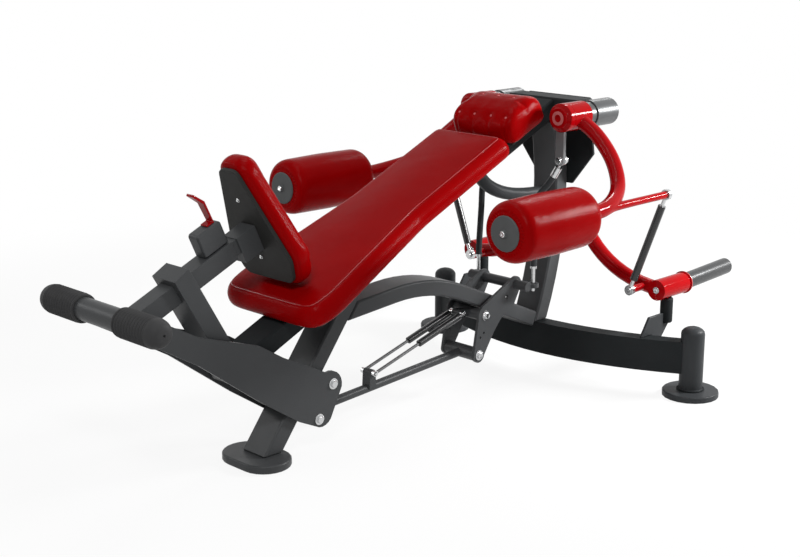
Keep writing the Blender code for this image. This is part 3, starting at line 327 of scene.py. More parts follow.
# Masks for the bright metal that is part of a darker CAD node
def farFrom(flow, where, place):
    inputs = {0: where, 1: place}
    return flow.node("ShaderNodeVectorMath", {"operation": "DISTANCE"}, inputs, "Value")


def aboutAxis(place, axis, radius):
    # 1 inside a cylinder of that radius about an axis along X or Y
    def mask(flow, where):
        flat = tuple(0.0 if index == axis else 1.0 for index in range(3))
        seen = flow.node("ShaderNodeVectorMath", {"operation": "MULTIPLY"}, {0: where, 1: flat})
        centre = tuple(value * keep for value, keep in zip(place, flat))
        return farFrom(flow, seen, centre) < radius
    return mask


def beyondFace(place, way, radius):
    # 1 inside a cylinder along X, on the one side of a place
    def mask(flow, where):
        along = axesOf(flow, where)[0] * way
        return aboutAxis(place, 0, radius)(flow, where) * (along > place.x * way)
    return mask


def within(place, radius):
    return lambda flow, where: farFrom(flow, where, tuple(place)) < radius


def oneOf(*masks):
    def mask(flow, where):
        total = masks[0](flow, where)
        for other in masks[1:]:
            total = flow.maths("MAXIMUM", total, other(flow, where))
        return total
    return mask


def beyondEnds(start, end, reach):
    # 1 within that reach of either end of a straight rod
    along = (end - start).normalized()

    def mask(flow, where):
        inputs = {0: where, 1: tuple(along)}
        far = flow.node("ShaderNodeVectorMath", {"operation": "DOT_PRODUCT"}, inputs, "Value")
        first = far < start.dot(along) + reach
        last = far > end.dot(along) - reach
        return flow.maths("MAXIMUM", first, last)
    return mask


# Places that more than one piece uses
places = {
    "hubY": 0.1885, "hubZ": 0.883, "rollerY": 0.467, "rollerZ": 0.652, "stubZ": 0.655,
    "leverPinY": 0.345, "leverPinZ": 0.326, "linkX": -0.078, "bossY": 0.401, "bossZ": 0.323,
    "crankPinZ": 0.749, "crankEyeX": -0.244, "leverX": -1.117, "leverZ": 0.193,
    "rodPinX": -1.172, "rodPinZ": 0.099, "bellX": -0.464, "bellZ": 0.264,
    "bellPinX": -0.494, "bellPinZ": 0.139, "yokeX": -0.290, "yokeY": 0.118, "yokeZ": 0.340,
    "springY": 0.023, "springLow": (-0.908, 0.163), "springHigh": (-0.518, 0.271),
    "stubFace": -0.0864, "lugFace": -0.0697, "bossFront": -0.013, "bossR": 0.034,
}


# Modelling helpers
meshing = {
    "nodeWeld": 0.00001, "latheSeed": 0.001, "latheWeld": 0.000002, "smoothBelow": math.radians(35),
    "batch": 4000,
}


def deselectAll():
    bpy.ops.object.select_all(action="DESELECT")


def selectOnly(piece):
    deselectAll()
    piece.select_set(True)
    bpy.context.view_layer.objects.active = piece


def applied(piece, kind, **settings):
    selectOnly(piece)
    step = piece.modifiers.new("step", kind)
    for name, value in settings.items():
        setattr(step, name, value)
    bpy.ops.object.modifier_apply(modifier=step.name)


def copyOfNode(name, node):
    # A mesh of its own with the node's shape, its loose triangles joined
    piece = bpy.data.objects.new(name, nodes[node].data.copy())
    bpy.context.scene.collection.objects.link(piece)
    piece.data.materials.clear()
    selectOnly(piece)
    bpy.ops.object.mode_set(mode="EDIT")
    bpy.ops.mesh.select_all(action="SELECT")
    bpy.ops.mesh.remove_doubles(threshold=meshing["nodeWeld"])
    bpy.ops.mesh.normals_make_consistent(inside=False)
    bpy.ops.object.mode_set(mode="OBJECT")
    return piece


def pointsOf(piece):
    values = np.empty(len(piece.data.vertices) * 3)
    piece.data.vertices.foreach_get("co", values)
    return values.reshape(-1, 3)


def setPoints(piece, points):
    piece.data.vertices.foreach_set("co", np.asarray(points, float).ravel())
    piece.data.update()


def dress(piece, finish, body):
    piece.data.materials.clear()
    piece.data.materials.append(materials[finish] if isinstance(finish, str) else finish)
    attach(piece, body)


def pickFaces(piece, test):
    # Goes into edit mode with just the faces selected whose centre passes the test
    selectOnly(piece)
    bpy.ops.object.mode_set(mode="EDIT")
    bpy.ops.mesh.select_mode(type="FACE")
    bpy.ops.mesh.select_all(action="DESELECT")
    bpy.ops.object.mode_set(mode="OBJECT")
    for face in piece.data.polygons:
        face.select = test(face.center)
    bpy.ops.object.mode_set(mode="EDIT")


def lathe(name, profile, sides):
    # A plane drawn to one point, extruded along a profile of (radius, height) and spun round Z
    deselectAll()
    bpy.ops.mesh.primitive_plane_add(size=meshing["latheSeed"], location=(0, 0, 0))
    piece = bpy.context.object
    piece.name = piece.data.name = name
    bpy.ops.object.mode_set(mode="EDIT")
    bpy.ops.mesh.select_mode(type="VERT")
    bpy.ops.mesh.select_all(action="SELECT")
    bpy.ops.mesh.merge(type="CENTER")
    here = Vector((profile[0][0], 0, profile[0][1]))
    bpy.ops.transform.translate(value=here)
    for radius, height in profile[1:]:
        there = Vector((radius, 0, height))
        bpy.ops.mesh.extrude_region_move(TRANSFORM_OT_translate={"value": there - here})
        here = there
    bpy.ops.mesh.select_all(action="SELECT")
    bpy.ops.mesh.spin(steps=sides, angle=math.tau, center=(0, 0, 0), axis=(0, 0, 1))
    bpy.ops.mesh.select_all(action="SELECT")
    bpy.ops.mesh.remove_doubles(threshold=meshing["latheWeld"])
    bpy.ops.mesh.normals_make_consistent(inside=False)
    bpy.ops.object.mode_set(mode="OBJECT")
    bpy.ops.object.shade_smooth_by_angle(angle=meshing["smoothBelow"])
    return piece


def stand(piece, place, axis):
    # Puts a piece made along Z at its place and along its axis, in its mesh
    turn = Vector(axis).to_track_quat("Z", "Y").to_matrix().to_4x4()
    piece.data.transform(Matrix.Translation(Vector(place)) @ turn)


def another(master, name):
    piece = bpy.data.objects.new(name, master.data.copy())
    bpy.context.scene.collection.objects.link(piece)
    return piece


def joined(name, pieces):
    deselectAll()
    for piece in pieces:
        piece.select_set(True)
    bpy.context.view_layer.objects.active = pieces[0]
    bpy.ops.object.join()
    pieces[0].name = pieces[0].data.name = name
    return pieces[0]


def drop(piece):
    bpy.data.objects.remove(piece)


# The rigid nodes: a copy of each with its edges rounded and its tubes shaded smooth
refining = {
    "width": 0.0016, "steps": 2, "sharp": math.radians(40), "flat": math.radians(1.0),
    "quadFace": math.radians(40), "quadShape": math.radians(60), "normalWeight": 50,
}


def camel(node):
    first, *others = node.split("_")
    return first + "".join(word.capitalize() for word in others)


def bevelled(piece):
    applied(piece, "BEVEL", width=refining["width"], segments=refining["steps"],
            limit_method="ANGLE", angle_limit=refining["sharp"])


def refined(node, finish, alter=None):
    piece = copyOfNode(camel(node) + "Body", node)
    selectOnly(piece)
    bpy.ops.object.mode_set(mode="EDIT")
    bpy.ops.mesh.select_all(action="SELECT")
    bpy.ops.mesh.dissolve_limited(angle_limit=refining["flat"])
    bpy.ops.object.mode_set(mode="OBJECT")
    if alter:
        alter(piece)
    bevelled(piece)
    piece.data.shade_smooth()
    applied(piece, "WEIGHTED_NORMAL", mode="FACE_AREA", weight=refining["normalWeight"])
    dress(piece, finish, nodes[node]["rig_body"])
    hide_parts(node)


def smoothTube(piece):
    # Joins the triangles of a bent tube into quads and divides them, so that it shades evenly
    selectOnly(piece)
    bpy.ops.object.mode_set(mode="EDIT")
    bpy.ops.mesh.select_all(action="SELECT")
    bpy.ops.mesh.tris_convert_to_quads(
        face_threshold=refining["quadFace"], shape_threshold=refining["quadShape"])
    bpy.ops.object.mode_set(mode="OBJECT")
    bevelled(piece)
    applied(piece, "SUBSURF", levels=1, render_levels=1)


def withoutBolts(centres, face):
    # Takes the plain bolt heads of the CAD node off, for the detailed ones
    def onBolt(centre):
        near = any(math.hypot(centre.x - x, centre.z - z) < bolts["headRadius"] for x, z in centres)
        return near and abs(centre.y) > face + bolts["clear"]

    def alter(piece):
        pickFaces(piece, onBolt)
        bpy.ops.mesh.delete(type="FACE")
        bpy.ops.mesh.select_all(action="SELECT")
        bpy.ops.mesh.fill_holes(sides=0)
        bpy.ops.mesh.dissolve_limited(angle_limit=refining["flat"])
        bpy.ops.object.mode_set(mode="OBJECT")
    return alter


def drilled(holes, reach):
    # Holes right through both plates, each as its x, z and radius
    def alter(piece):
        for x, z, radius in holes:
            profile = [(0, -reach), (radius, -reach), (radius, reach), (0, reach)]
            tool = lathe("drill", profile, bolts["drillSides"])
            stand(tool, spot(x, 0, z), (0, 1, 0))
            applied(piece, "BOOLEAN", object=tool, operation="DIFFERENCE", solver="EXACT")
            drop(tool)
    return alter


def allOf(*steps):
    def alter(piece):
        for step in steps:
            step(piece)
    return alter


plain = {
    "powderCoat": [
        "front_foot", "front_leg", "spine", "seat_post", "seat_rail", "latch_housing", "upright",
        "lever_pivot_bracket", "seat_stem",
    ],
    # Painted shade: the rear posts, bumper brackets and brace in a darker copy of the powder coat
    "halfShadeCoat": ["near_rear_post", "far_rear_post", "near_bumper_bracket", "far_bumper_bracket", "brace"],
    # Painted shade on the beams, gusset, crossmember and mount; the bumpers are black rubber
    "blackAndShadeCoat": [
        "rear_beam", "pad_beam", "hub_gusset", "hub_crossmember", "weight_pivot_mount",
        "near_bumper", "far_bumper",
    ],
    "redEnamel": ["release_lever", "near_crank_hub", "far_crank_hub"],
    "darkBoard": ["back_board", "head_board", "seat_board"],
    "gunmetal": ["near_housing", "far_housing"],
    # The horns in the darker steel, as painted shade
    "hornShadeSteel": ["near_horn", "far_horn"],
    "capGrey": ["near_roller_cap", "far_roller_cap"],
}

# Bolts: the washer's radius and thickness, then the head's radius and height. The cap screw: its radius
# and height and the radius of its hollow. Drilled holes: x, z and radius
bolts = {
    "lever": [("leverX", "leverZ"), ("rodPinX", "rodPinZ")], "leverFace": 0.070,
    "bell": [("bellX", "bellZ"), ("bellPinX", "bellPinZ")], "bellFace": 0.072,
    "headRadius": 0.0152, "clear": 0.0004, "lift": 0.0002, "press": 0.0001,
    "pivot": (0.0165, 0.0024, 0.0112, 0.0070), "boss": (0.0110, 0.0018, 0.0076, 0.0046),
    "board": (0.0062, 0.0010, 0.0044, 0.0030), "cap": (0.0086, 0.0052, 0.0040),
    "boardAlong": -0.9603, "boardAcross": (1.256, 1.072),
    "drill": [(-0.363, 0.305, 0.0070), (-0.472, 0.208, 0.0042), (-0.488, 0.196, 0.0042)],
    "drillReach": 0.090, "drillSides": 20,
}

# How far the bright metal reaches from the middle or the end of each pin, eye and tip
bright = {
    "springPin": 0.0056, "armPin": 0.0155, "leverPin": 0.0135, "crankPin": 0.0116, "linkEnd": 0.040,
    "crankEye": 0.0645, "yokeEye": 0.064, "springHigh": 0.011, "springLow": 0.012,
}


def centresOf(names):
    return [(places[x] + layout["shift"], places[z]) for x, z in names]


def springEnd(name, y):
    x, z = places[name]
    return spot(x, y, z)


def sideLooks(sign):
    # For the nodes of one side: their finish, and where they are bright metal instead
    hub, roller, pin = (sign * places[name] for name in ("hubY", "rollerY", "leverPinY"))
    yoke, spring = (sign * places[name] for name in ("yokeY", "springY"))
    low = spot(places["linkX"], pin, places["leverPinZ"])
    high = spot(places["linkX"], roller, places["stubZ"])
    stub = spot(places["stubFace"], roller, places["stubZ"])
    lug = spot(places["lugFace"], pin, places["leverPinZ"])
    eye = spot(places["crankEyeX"], hub, places["crankPinZ"])
    tip = spot(places["yokeX"], yoke, places["yokeZ"])
    return {
        "_arm": ("redEnamel", beyondFace(stub, 1, bright["armPin"])),
        "_weight_lever": ("redEnamel", beyondFace(lug, -1, bright["leverPin"])),
        "_crank": ("greyPlate", aboutAxis(eye, 0, bright["crankPin"])),
        "_link": ("blackGloss", beyondEnds(low, high, bright["linkEnd"])),
        # The crank rods in the darker copy of the powder coat, as painted shade
        "_crank_rod": ("halfShadeCoat", oneOf(within(eye, bright["crankEye"]), within(tip, bright["yokeEye"]))),
        "_spring_body": ("blackGloss", within(springEnd("springHigh", spring), bright["springHigh"])),
        "_spring_rod": ("darkSteel", within(springEnd("springLow", spring), bright["springLow"])),
    }


def makeBodies():
    for finish, names in plain.items():
        for node in names:
            refined(node, finish)
    refined("foot_lever", "powderCoat", withoutBolts(centresOf(bolts["lever"]), bolts["leverFace"]))
    refined("bellcrank", "powderCoat", allOf(
        withoutBolts(centresOf(bolts["bell"]), bolts["bellFace"]),
        drilled(bolts["drill"], bolts["drillReach"])))
    for name, node, end in (
            ("pushRodFinish", "push_rod", "springLow"),
            ("pivotTubeFinish", "bellcrank_pivot_tube", "springHigh")):
        pin = aboutAxis(springEnd(end, 0), 1, bright["springPin"])
        refined(node, makeFinish(name, finishes["powderCoat"], finishes["chrome"], pin))
    for side, sign in layout["sides"]:
        for ending, (look, mask) in sideLooks(sign).items():
            node = side + ending
            finish = makeFinish(node + "Finish", finishes[look], finishes["chrome"], mask)
            refined(node, finish, smoothTube if ending == "_arm" else None)
    print("rigid pieces refined")


# Foot grips: ribbed sleeves with a domed end
grip = {
    "wall": 0.0078, "inside": 0.010, "mouth": 0.0004, "mouthRound": 0.004, "lipIn": 0.0008, "lipAt": 0.0016,
    "lip": 0.005, "firstRib": 0.010, "ribs": 11, "pitch": 0.0118, "groove": 0.0046, "grooveWide": 0.0036,
    "edge": 0.0010, "edgeShare": 0.8, "floorShare": 0.3, "crown": 0.0008,
    "dome": 0.036, "blunt": 0.62, "domeSteps": 10,
    "hole": 0.0030, "holeMouth": 0.0045, "holeRound": 0.001, "holeDeep": 0.006, "sides": 64,
}


def gripProfile(radius, length):
    # From inside the mouth over the ribs and the dome to the vent hole in its middle
    inner = radius - grip["wall"]
    profile = [
        (inner, grip["inside"]), (inner, grip["mouth"]), (radius - grip["mouthRound"], 0),
        (radius - grip["lipIn"], grip["lipAt"]), (radius, grip["lip"]),
    ]
    edge, floor = grip["grooveWide"] * grip["edgeShare"], grip["grooveWide"] * grip["floorShare"]
    for index in range(grip["ribs"]):
        at = grip["firstRib"] + grip["pitch"] * index
        profile += [
            (radius - grip["edge"], at - edge), (radius - grip["groove"], at - floor),
            (radius - grip["groove"], at + floor), (radius - grip["edge"], at + edge),
            (radius + grip["crown"], at + grip["pitch"] / 2),
        ]
    for step in range(grip["domeSteps"]):
        turn = math.pi / 2 * step / grip["domeSteps"]
        height = length - grip["dome"] * (1 - math.sin(turn))
        profile.append((radius * math.cos(turn) ** grip["blunt"], height))
    deep = length - grip["holeDeep"]
    profile += [(grip["holeMouth"], length), (grip["hole"], length - grip["holeRound"])]
    return profile + [(grip["hole"], deep), (0, deep)]


def makeGrips():
    for side, sign in layout["sides"]:
        low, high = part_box(side + "_grip")
        start = low.y if sign > 0 else high.y
        profile = gripProfile((high.x - low.x) / 2, high.y - low.y)
        piece = lathe(side + "RibbedGrip", profile, grip["sides"])
        stand(piece, ((low.x + high.x) / 2, start, (low.z + high.z) / 2), (0, sign, 0))
        dress(piece, "rubber", "foot_lever")
        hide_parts(side + "_grip")
    print("foot grips made")


# Fasteners: one of each kind is made and copied. Shares of the head's or the washer's own sizes
heads = {
    "washerEdge": 0.7, "washerRound": 0.3, "washerSides": 36, "sunk": 0.9, "flat": 0.82, "chamfer": 0.16,
    "dish": 0.55, "dishHigh": 0.94, "middleHigh": 0.90, "hexSides": 6,
    "screwEdge": 0.7, "screwTop": 0.84, "screwSides": 30, "keyFloor": 0.45, "keyTop": 1.4,
}


def hexBolt(name, washer, thick, across, high):
    edge, crown = thick * heads["washerEdge"], washer - thick * heads["washerRound"]
    plate = lathe(name + "Washer", [(0, 0), (washer, 0), (washer, edge), (crown, thick), (0, thick)],
                  heads["washerSides"])
    sunk, top = thick * heads["sunk"], thick + high
    head = lathe(name, [
        (0, sunk), (across, sunk), (across, thick + high * heads["flat"]),
        (across - across * heads["chamfer"], top),
        (across * heads["dish"], thick + high * heads["dishHigh"]),
        (0, thick + high * heads["middleHigh"])], heads["hexSides"])
    return joined(name, [head, plate])


def socketScrew(name, radius, high, hollow):
    # A round head with a six-sided hollow
    head = lathe(name, [
        (0, 0), (radius, 0), (radius, high * heads["screwEdge"]), (radius * heads["screwTop"], high),
        (0, high)], heads["screwSides"])
    floor, top = high * heads["keyFloor"], high * heads["keyTop"]
    tool = lathe(name + "Key", [(0, floor), (hollow, floor), (hollow, top), (0, top)], heads["hexSides"])
    applied(head, "BOOLEAN", object=tool, operation="DIFFERENCE", solver="EXACT")
    drop(tool)
    selectOnly(head)
    bpy.ops.object.shade_smooth_by_angle(angle=meshing["smoothBelow"])
    return head


def fastened(name, master, spots, body, finish="chrome"):
    copies = []
    for index, (place, axis) in enumerate(spots):
        piece = another(master, name + str(index))
        stand(piece, place, axis)
        copies.append(piece)
    dress(joined(name, copies), finish, body)


def makePivotBolts():
    master = hexBolt("bigBolt", *bolts["pivot"])
    for name, body in (("lever", "foot_lever"), ("bell", "bellcrank")):
        out = bolts[name + "Face"] + bolts["lift"]
        spots = [(spot(places[x], sign * out, places[z]), (0, sign, 0))
                 for x, z in bolts[name] for side, sign in layout["sides"]]
        fastened(name + "Bolts", master, spots, body)
    drop(master)


def makeBoardBolts():
    master = hexBolt("boardBolt", *bolts["board"])
    downhill = onIncline(-1, 0, 0) - onIncline(0, 0, 0)
    spots = [(onIncline(bolts["boardAlong"], 0, across), downhill) for across in bolts["boardAcross"]]
    fastened("seatBoardBolts", master, spots, "seat")
    drop(master)


def makeSideFasteners():
    bolt, screw = hexBolt("smallBolt", *bolts["boss"]), socketScrew("capScrew", *bolts["cap"])
    for side, sign in layout["sides"]:
        boss = spot(places["bossFront"], sign * places["bossY"], places["bossZ"])
        boss.x -= bolts["press"]
        fastened(side + "BossBolt", bolt, [(boss, (-1, 0, 0))], side + "_weight_lever")
        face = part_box(side + "_roller_cap")[0].x - bolts["press"]
        cap = Vector((face, sign * places["rollerY"], places["rollerZ"]))
        fastened(side + "RollerScrew", screw, [(cap, (-1, 0, 0))], side + "_roller")
    drop(bolt)
    drop(screw)


# Rims and rings: at the foot of each horn, on its end, and on the front of each crank hub
rims = {
    "lip": 0.0372, "lipLong": 0.0060, "lipRound": 0.001,
    "ring": 0.0345, "ringIn": 0.0335, "ringFoot": 0.0006, "ringLong": 0.0042, "ringRound": 0.0008,
    "plug": 0.0118, "plugRise": 0.0030, "plugRound": 0.001, "plugDeep": 0.0045, "plugOut": 0.0015,
    "hole": 0.0066, "holeFloor": 0.0012, "holeFlare": 0.0006, "holeDrop": 0.0004,
    "face": 0.0220, "faceRise": 0.0016, "faceRound": 0.0008, "faceFoot": 0.0002, "faceGap": 0.0004,
    "hornSides": 48, "hubSides": 40,
}


def rimAt(name, profile, sides, place, way, finish, body):
    piece = lathe(name, profile, sides)
    stand(piece, place, (way, 0, 0))
    dress(piece, finish, body)


def makeHornRims(side, sign):
    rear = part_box(side + "_weight_lever")[1].x
    middle = (rear, sign * places["bossY"], places["bossZ"])
    outer, long, soft = rims["lip"], rims["lipLong"], rims["lipRound"]
    inner = places["bossR"] - soft
    rimAt(side + "HornLip", [
        (inner, -long), (outer - soft, -long), (outer, soft - long), (outer, -soft), (outer - soft, 0),
        (inner, 0), (inner, -long)], rims["hornSides"], middle, 1, "redEnamel", side + "_weight_lever")
    inner, outer, long, soft = rims["ringIn"], rims["ring"], rims["ringLong"], rims["ringRound"]
    foot = rims["ringFoot"]
    rimAt(side + "HornRing", [
        (inner, foot), (outer, foot), (outer + soft, foot + soft), (outer + soft, long - soft),
        (outer, long), (inner, long), (inner, foot)],
        rims["hornSides"], middle, 1, "chrome", side + "_weight_lever")


def makeHubRims(side, sign):
    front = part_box(side + "_crank_hub")[0].x
    at = (sign * places["hubY"], places["hubZ"])
    hole, floor, rise, outer = rims["hole"], rims["holeFloor"], rims["plugRise"], rims["plug"]
    soft, deep = rims["plugRound"], rims["plugDeep"]
    rimAt(side + "HubPlug", [
        (0, floor), (hole, floor), (hole, rise - rims["holeDrop"]), (hole + rims["holeFlare"], rise),
        (outer - soft, rise), (outer, rise - soft), (outer, -deep), (0, -deep), (0, floor)],
        rims["hubSides"], (front + rims["plugOut"], *at), -1, "redEnamel", side + "_crank")
    inner, outer, foot = rims["plug"] + rims["faceGap"], rims["face"], rims["faceFoot"]
    rise, soft = rims["faceRise"], rims["faceRound"]
    # The pale ring on the hub's front is a painted reflection
    rimAt(side + "HubFace", [
        (inner, foot), (inner, rise), (outer - soft, rise), (outer, rise - soft), (outer, foot),
        (inner, foot)],
        rims["hubSides"], (front, *at), -1, "sheenRed", side + "_crank")


# Weld beads where the posts stand on their feet
beads = {
    "radius": 0.0030, "post": 0.0412, "postY": 0.540, "postZ": 0.0228, "wave": 0.0007, "waves": 30,
    "sides": 96, "corners": 8,
}


def weldRing(name, place, radius, body):
    profile = []
    for corner in range(beads["corners"] + 1):
        turn = corner * math.tau / beads["corners"]
        profile.append((radius + beads["radius"] * math.cos(turn), beads["radius"] * math.sin(turn)))
    piece = lathe(name, profile, beads["sides"])
    points = pointsOf(piece)
    turns = np.arctan2(points[:, 1], points[:, 0])
    away = np.hypot(points[:, 0], points[:, 1]) - radius
    swell = 1 + beads["wave"] / beads["radius"] * np.sin(turns * beads["waves"])
    scale = (radius + away * swell) / np.hypot(points[:, 0], points[:, 1])
    points[:, :2] *= scale[:, None]
    points[:, 2] *= swell
    setPoints(piece, points)
    piece.data.shade_smooth()
    stand(piece, place, (0, 0, 1))
    # The bead takes the darkest copy of the powder coat, the one made for painted shade
    dress(piece, "blackAndShadeCoat", body)


makeBodies()
makeGrips()
makePivotBolts()
makeBoardBolts()
makeSideFasteners()
print("fasteners made")
for side, sign in layout["sides"]:
    makeHornRims(side, sign)
    makeHubRims(side, sign)
    weldRing(side + "PostBead", spot(0, sign * beads["postY"], beads["postZ"]), beads["post"], "frame")
print("rims and weld beads made")


# Upholstery
padding = {
    "pressure": 3.0, "frames": 20, "quality": 4, "footHeld": 0.008, "smoothing": 0.5,
    "widestAt": 0.40, "widestBand": 0.001, "digits": 5, "ringStep": 0.010, "smallest": 1e-9,
}


def alongAcross(points):
    x = points[:, 0] - layout["shift"]
    cosine, sine = math.cos(layout["incline"]), math.sin(layout["incline"])
    return x * cosine + points[:, 2] * sine, -x * sine + points[:, 2] * cosine


def normalsOf(piece):
    normals = np.empty(len(piece.data.vertices) * 3)
    piece.data.vertices.foreach_get("normal", normals)
    return normals.reshape(-1, 3)


def inflate(piece, pad, held):
    # Cloth with pressure, pinned at base and seams; no point moves further than the cap
    rest = pointsOf(piece)
    group = piece.vertex_groups.new(name="held")
    group.add([int(index) for index in np.nonzero(held(rest))[0]], 1.0, "ADD")
    selectOnly(piece)
    cloth = piece.modifiers.new("puff", "CLOTH")
    cloth.settings.use_pressure = True
    cloth.settings.uniform_pressure_force = padding["pressure"]
    cloth.settings.effector_weights.gravity = 0
    cloth.settings.vertex_group_mass = "held"
    cloth.settings.quality = padding["quality"]
    cloth.point_cache.frame_start = 1
    cloth.point_cache.frame_end = padding["frames"]
    for step in range(1, padding["frames"] + 1):
        bpy.context.scene.frame_set(step)
    bpy.ops.object.modifier_apply(modifier=cloth.name)
    bpy.context.scene.frame_set(1)
    moved = pointsOf(piece) - rest
    length = np.linalg.norm(moved, axis=1, keepdims=True)
    setPoints(piece, rest + moved * np.minimum(1, pad["cap"] / np.maximum(length, padding["smallest"])))
    piece.vertex_groups.clear()


def puffUp(piece, pad, held):
    applied(piece, "REMESH", mode="VOXEL", voxel_size=pad["voxel"])
    inflate(piece, pad, held)
    applied(piece, "SMOOTH", factor=padding["smoothing"], iterations=pad["smooth"])
    applied(piece, "SUBSURF", levels=1, render_levels=1)
    piece.data.shade_smooth()


def outlineOf(node, pad, frameOf):
    # The widest ring of a CAD pad, the ways inward from it, and the levels of its base and top
    u, v, h = frameOf(pointsOf(nodes[node]))
    low, high = h.min(), h.max()
    widest = np.abs(h - (low + (high - low) * padding["widestAt"])) < padding["widestBand"]
    ring = np.unique(np.round(np.stack([u[widest], v[widest]], 1), padding["digits"]), axis=0)
    middle = ring.mean(0)
    ring = ring[np.argsort(np.arctan2(ring[:, 1] - middle[1], ring[:, 0] - middle[0]))]
    even = resampled([(*point, 0.0) for point in ring], padding["ringStep"], True)
    ring = np.array([tuple(point) for point in even])[:, :2]
    for turn in range(pad.get("cornerRounds", 0)):
        eased = (np.roll(ring, -1, 0) + np.roll(ring, 1, 0) + ring * 2) / 4
        ring = np.where(ring[:, :1] < pad["cornersBelow"], eased, ring)
    heading = np.roll(ring, -1, 0) - np.roll(ring, 1, 0)
    heading /= np.linalg.norm(heading, axis=1, keepdims=True)
    inward = np.stack([-heading[:, 1], heading[:, 0]], 1)
    return {"ring": ring, "inward": inward, "middle": middle, "low": low, "high": high}


def levelAt(outline, share):
    return outline["low"] + (outline["high"] - outline["low"]) * share


def boxedForm(name, outline, pad, spotOf):
    # A boxed cushion lofted from the ring through its layers: side panel, seam and top panel
    ring, inward, middle = outline["ring"], outline["inward"], outline["middle"]
    points, faces, count = [], [], len(ring)
    for inset, shrink, share in pad["layers"]:
        level = levelAt(outline, share)
        for place in middle + (ring + inward * inset - middle) * shrink:
            points.append(tuple(spotOf(place[0], place[1], level)))
    for layer in range(len(pad["layers"]) - 1):
        for index in range(count):
            after = (index + 1) % count
            faces.append((layer * count + index, layer * count + after,
                          (layer + 1) * count + after, (layer + 1) * count + index))
    faces.append(tuple(reversed(range(count))))
    faces.append(tuple(range(len(points) - count, len(points))))
    mesh = bpy.data.meshes.new(name)
    mesh.from_pydata(points, [], faces)
    piece = bpy.data.objects.new(name, mesh)
    bpy.context.scene.collection.objects.link(piece)
    selectOnly(piece)
    bpy.ops.object.mode_set(mode="EDIT")
    bpy.ops.mesh.select_all(action="SELECT")
    bpy.ops.mesh.normals_make_consistent(inside=False)
    bpy.ops.object.mode_set(mode="OBJECT")
    return piece


def resampled(line, step, closed):
    # The same line with points an even step apart
    points = [Vector(point) for point in line] + ([Vector(line[0])] if closed else [])
    lengths = [0.0]
    for first, second in zip(points, points[1:]):
        lengths.append(lengths[-1] + (second - first).length)
    count = max(2, round(lengths[-1] / step))
    out, segment = [], 0
    for index in range(count + (0 if closed else 1)):
        at = lengths[-1] * index / count
        while segment < len(points) - 2 and lengths[segment + 1] < at:
            segment += 1
        share = (at - lengths[segment]) / max(lengths[segment + 1] - lengths[segment], padding["smallest"])
        out.append(points[segment].lerp(points[segment + 1], share))
    return out


def distanceTo(points, line):
    # From each point to the nearest point of a line, worked out in batches
    spots = np.array([tuple(point) for point in line])
    out = np.empty(len(points))
    for start in range(0, len(points), meshing["batch"]):
        some = points[start:start + meshing["batch"]]
        out[start:start + meshing["batch"]] = np.sqrt(((some[:, None] - spots[None]) ** 2).sum(2)).min(1)
    return out


def pinch(piece, line, depth, width):
    # Draws the surface in along a line of points, most at the line and none three widths away
    points, normals = pointsOf(piece), normalsOf(piece)
    spots = np.array([tuple(point) for point in line])
    low, high = spots.min(0) - width * 3, spots.max(0) + width * 3
    near = np.nonzero(((points > low) & (points < high)).all(1))[0]
    share = np.exp(-(distanceTo(points[near], line) / width) ** 2)
    points[near] -= normals[near] * (depth * share)[:, None]
    setPoints(piece, points)


def surfaceAt(piece, line, lift):
    # The nearest places on a piece to a line of points, lifted off it a little
    tree = BVHTree.FromObject(piece, bpy.context.evaluated_depsgraph_get())
    out = []
    for point in line:
        place, normal = tree.find_nearest(Vector(point))[:2]
        out.append(place + normal * lift)
    return out


def welt(name, line, radius, body):
    # A sewn cord of fabric along a closed line
    data = bpy.data.curves.new(name, "CURVE")
    data.dimensions = "3D"
    data.bevel_depth = radius
    data.bevel_resolution = 2
    spline = data.splines.new("POLY")
    spline.points.add(len(line) - 1)
    for slot, point in zip(spline.points, line):
        slot.co = (*point, 1.0)
    spline.use_cyclic_u = True
    piece = bpy.data.objects.new(name, data)
    bpy.context.scene.collection.objects.link(piece)
    selectOnly(piece)
    bpy.ops.object.convert(target="MESH")
    piece = bpy.context.object
    piece.data.shade_smooth()
    # Its paler colour is a painted highlight along the seam
    dress(piece, "pipingHighlight", body)


# The cushions. Each layer of a boxed one: how far in from the ring, how much of its width and of the height
backPad = {
    "voxel": 0.0065, "cap": 0.005, "smooth": 3,
    "layers": [(0.010, 1, 0.0), (0.001, 1, 0.08), (-0.003, 1, 0.25), (-0.003, 1, 0.42), (0.000, 1, 0.58),
               (0.005, 1, 0.72), (0.012, 1, 0.84), (0.021, 1, 0.93), (0.026, 1, 0.958), (0.038, 1, 0.978),
               (0.038, 0.90, 0.99), (0.038, 0.65, 1.0), (0.038, 0.30, 1.0)],
    "cornerRounds": 16, "cornersBelow": -0.93,
    "seamIn": 0.0215, "seamAt": 0.930, "seamStep": 0.004, "seamLevel": 0.005, "seamHeld": 0.006,
    "welt": 0.0017, "weltOut": 0.45, "pinch": 0.0016, "pinchWide": 0.0042,
}
seatPad = {
    "voxel": 0.0045, "cap": 0.003, "smooth": 8,
    "layers": [(0.006, 1, 0.0), (-0.004, 1, 0.06), (-0.009, 1, 0.22), (-0.011, 1, 0.46), (-0.008, 1, 0.68),
               (0.000, 1, 0.86), (0.011, 1, 0.955), (0.024, 0.93, 0.99), (0.024, 0.65, 1.0),
               (0.024, 0.3, 1.0)],
}
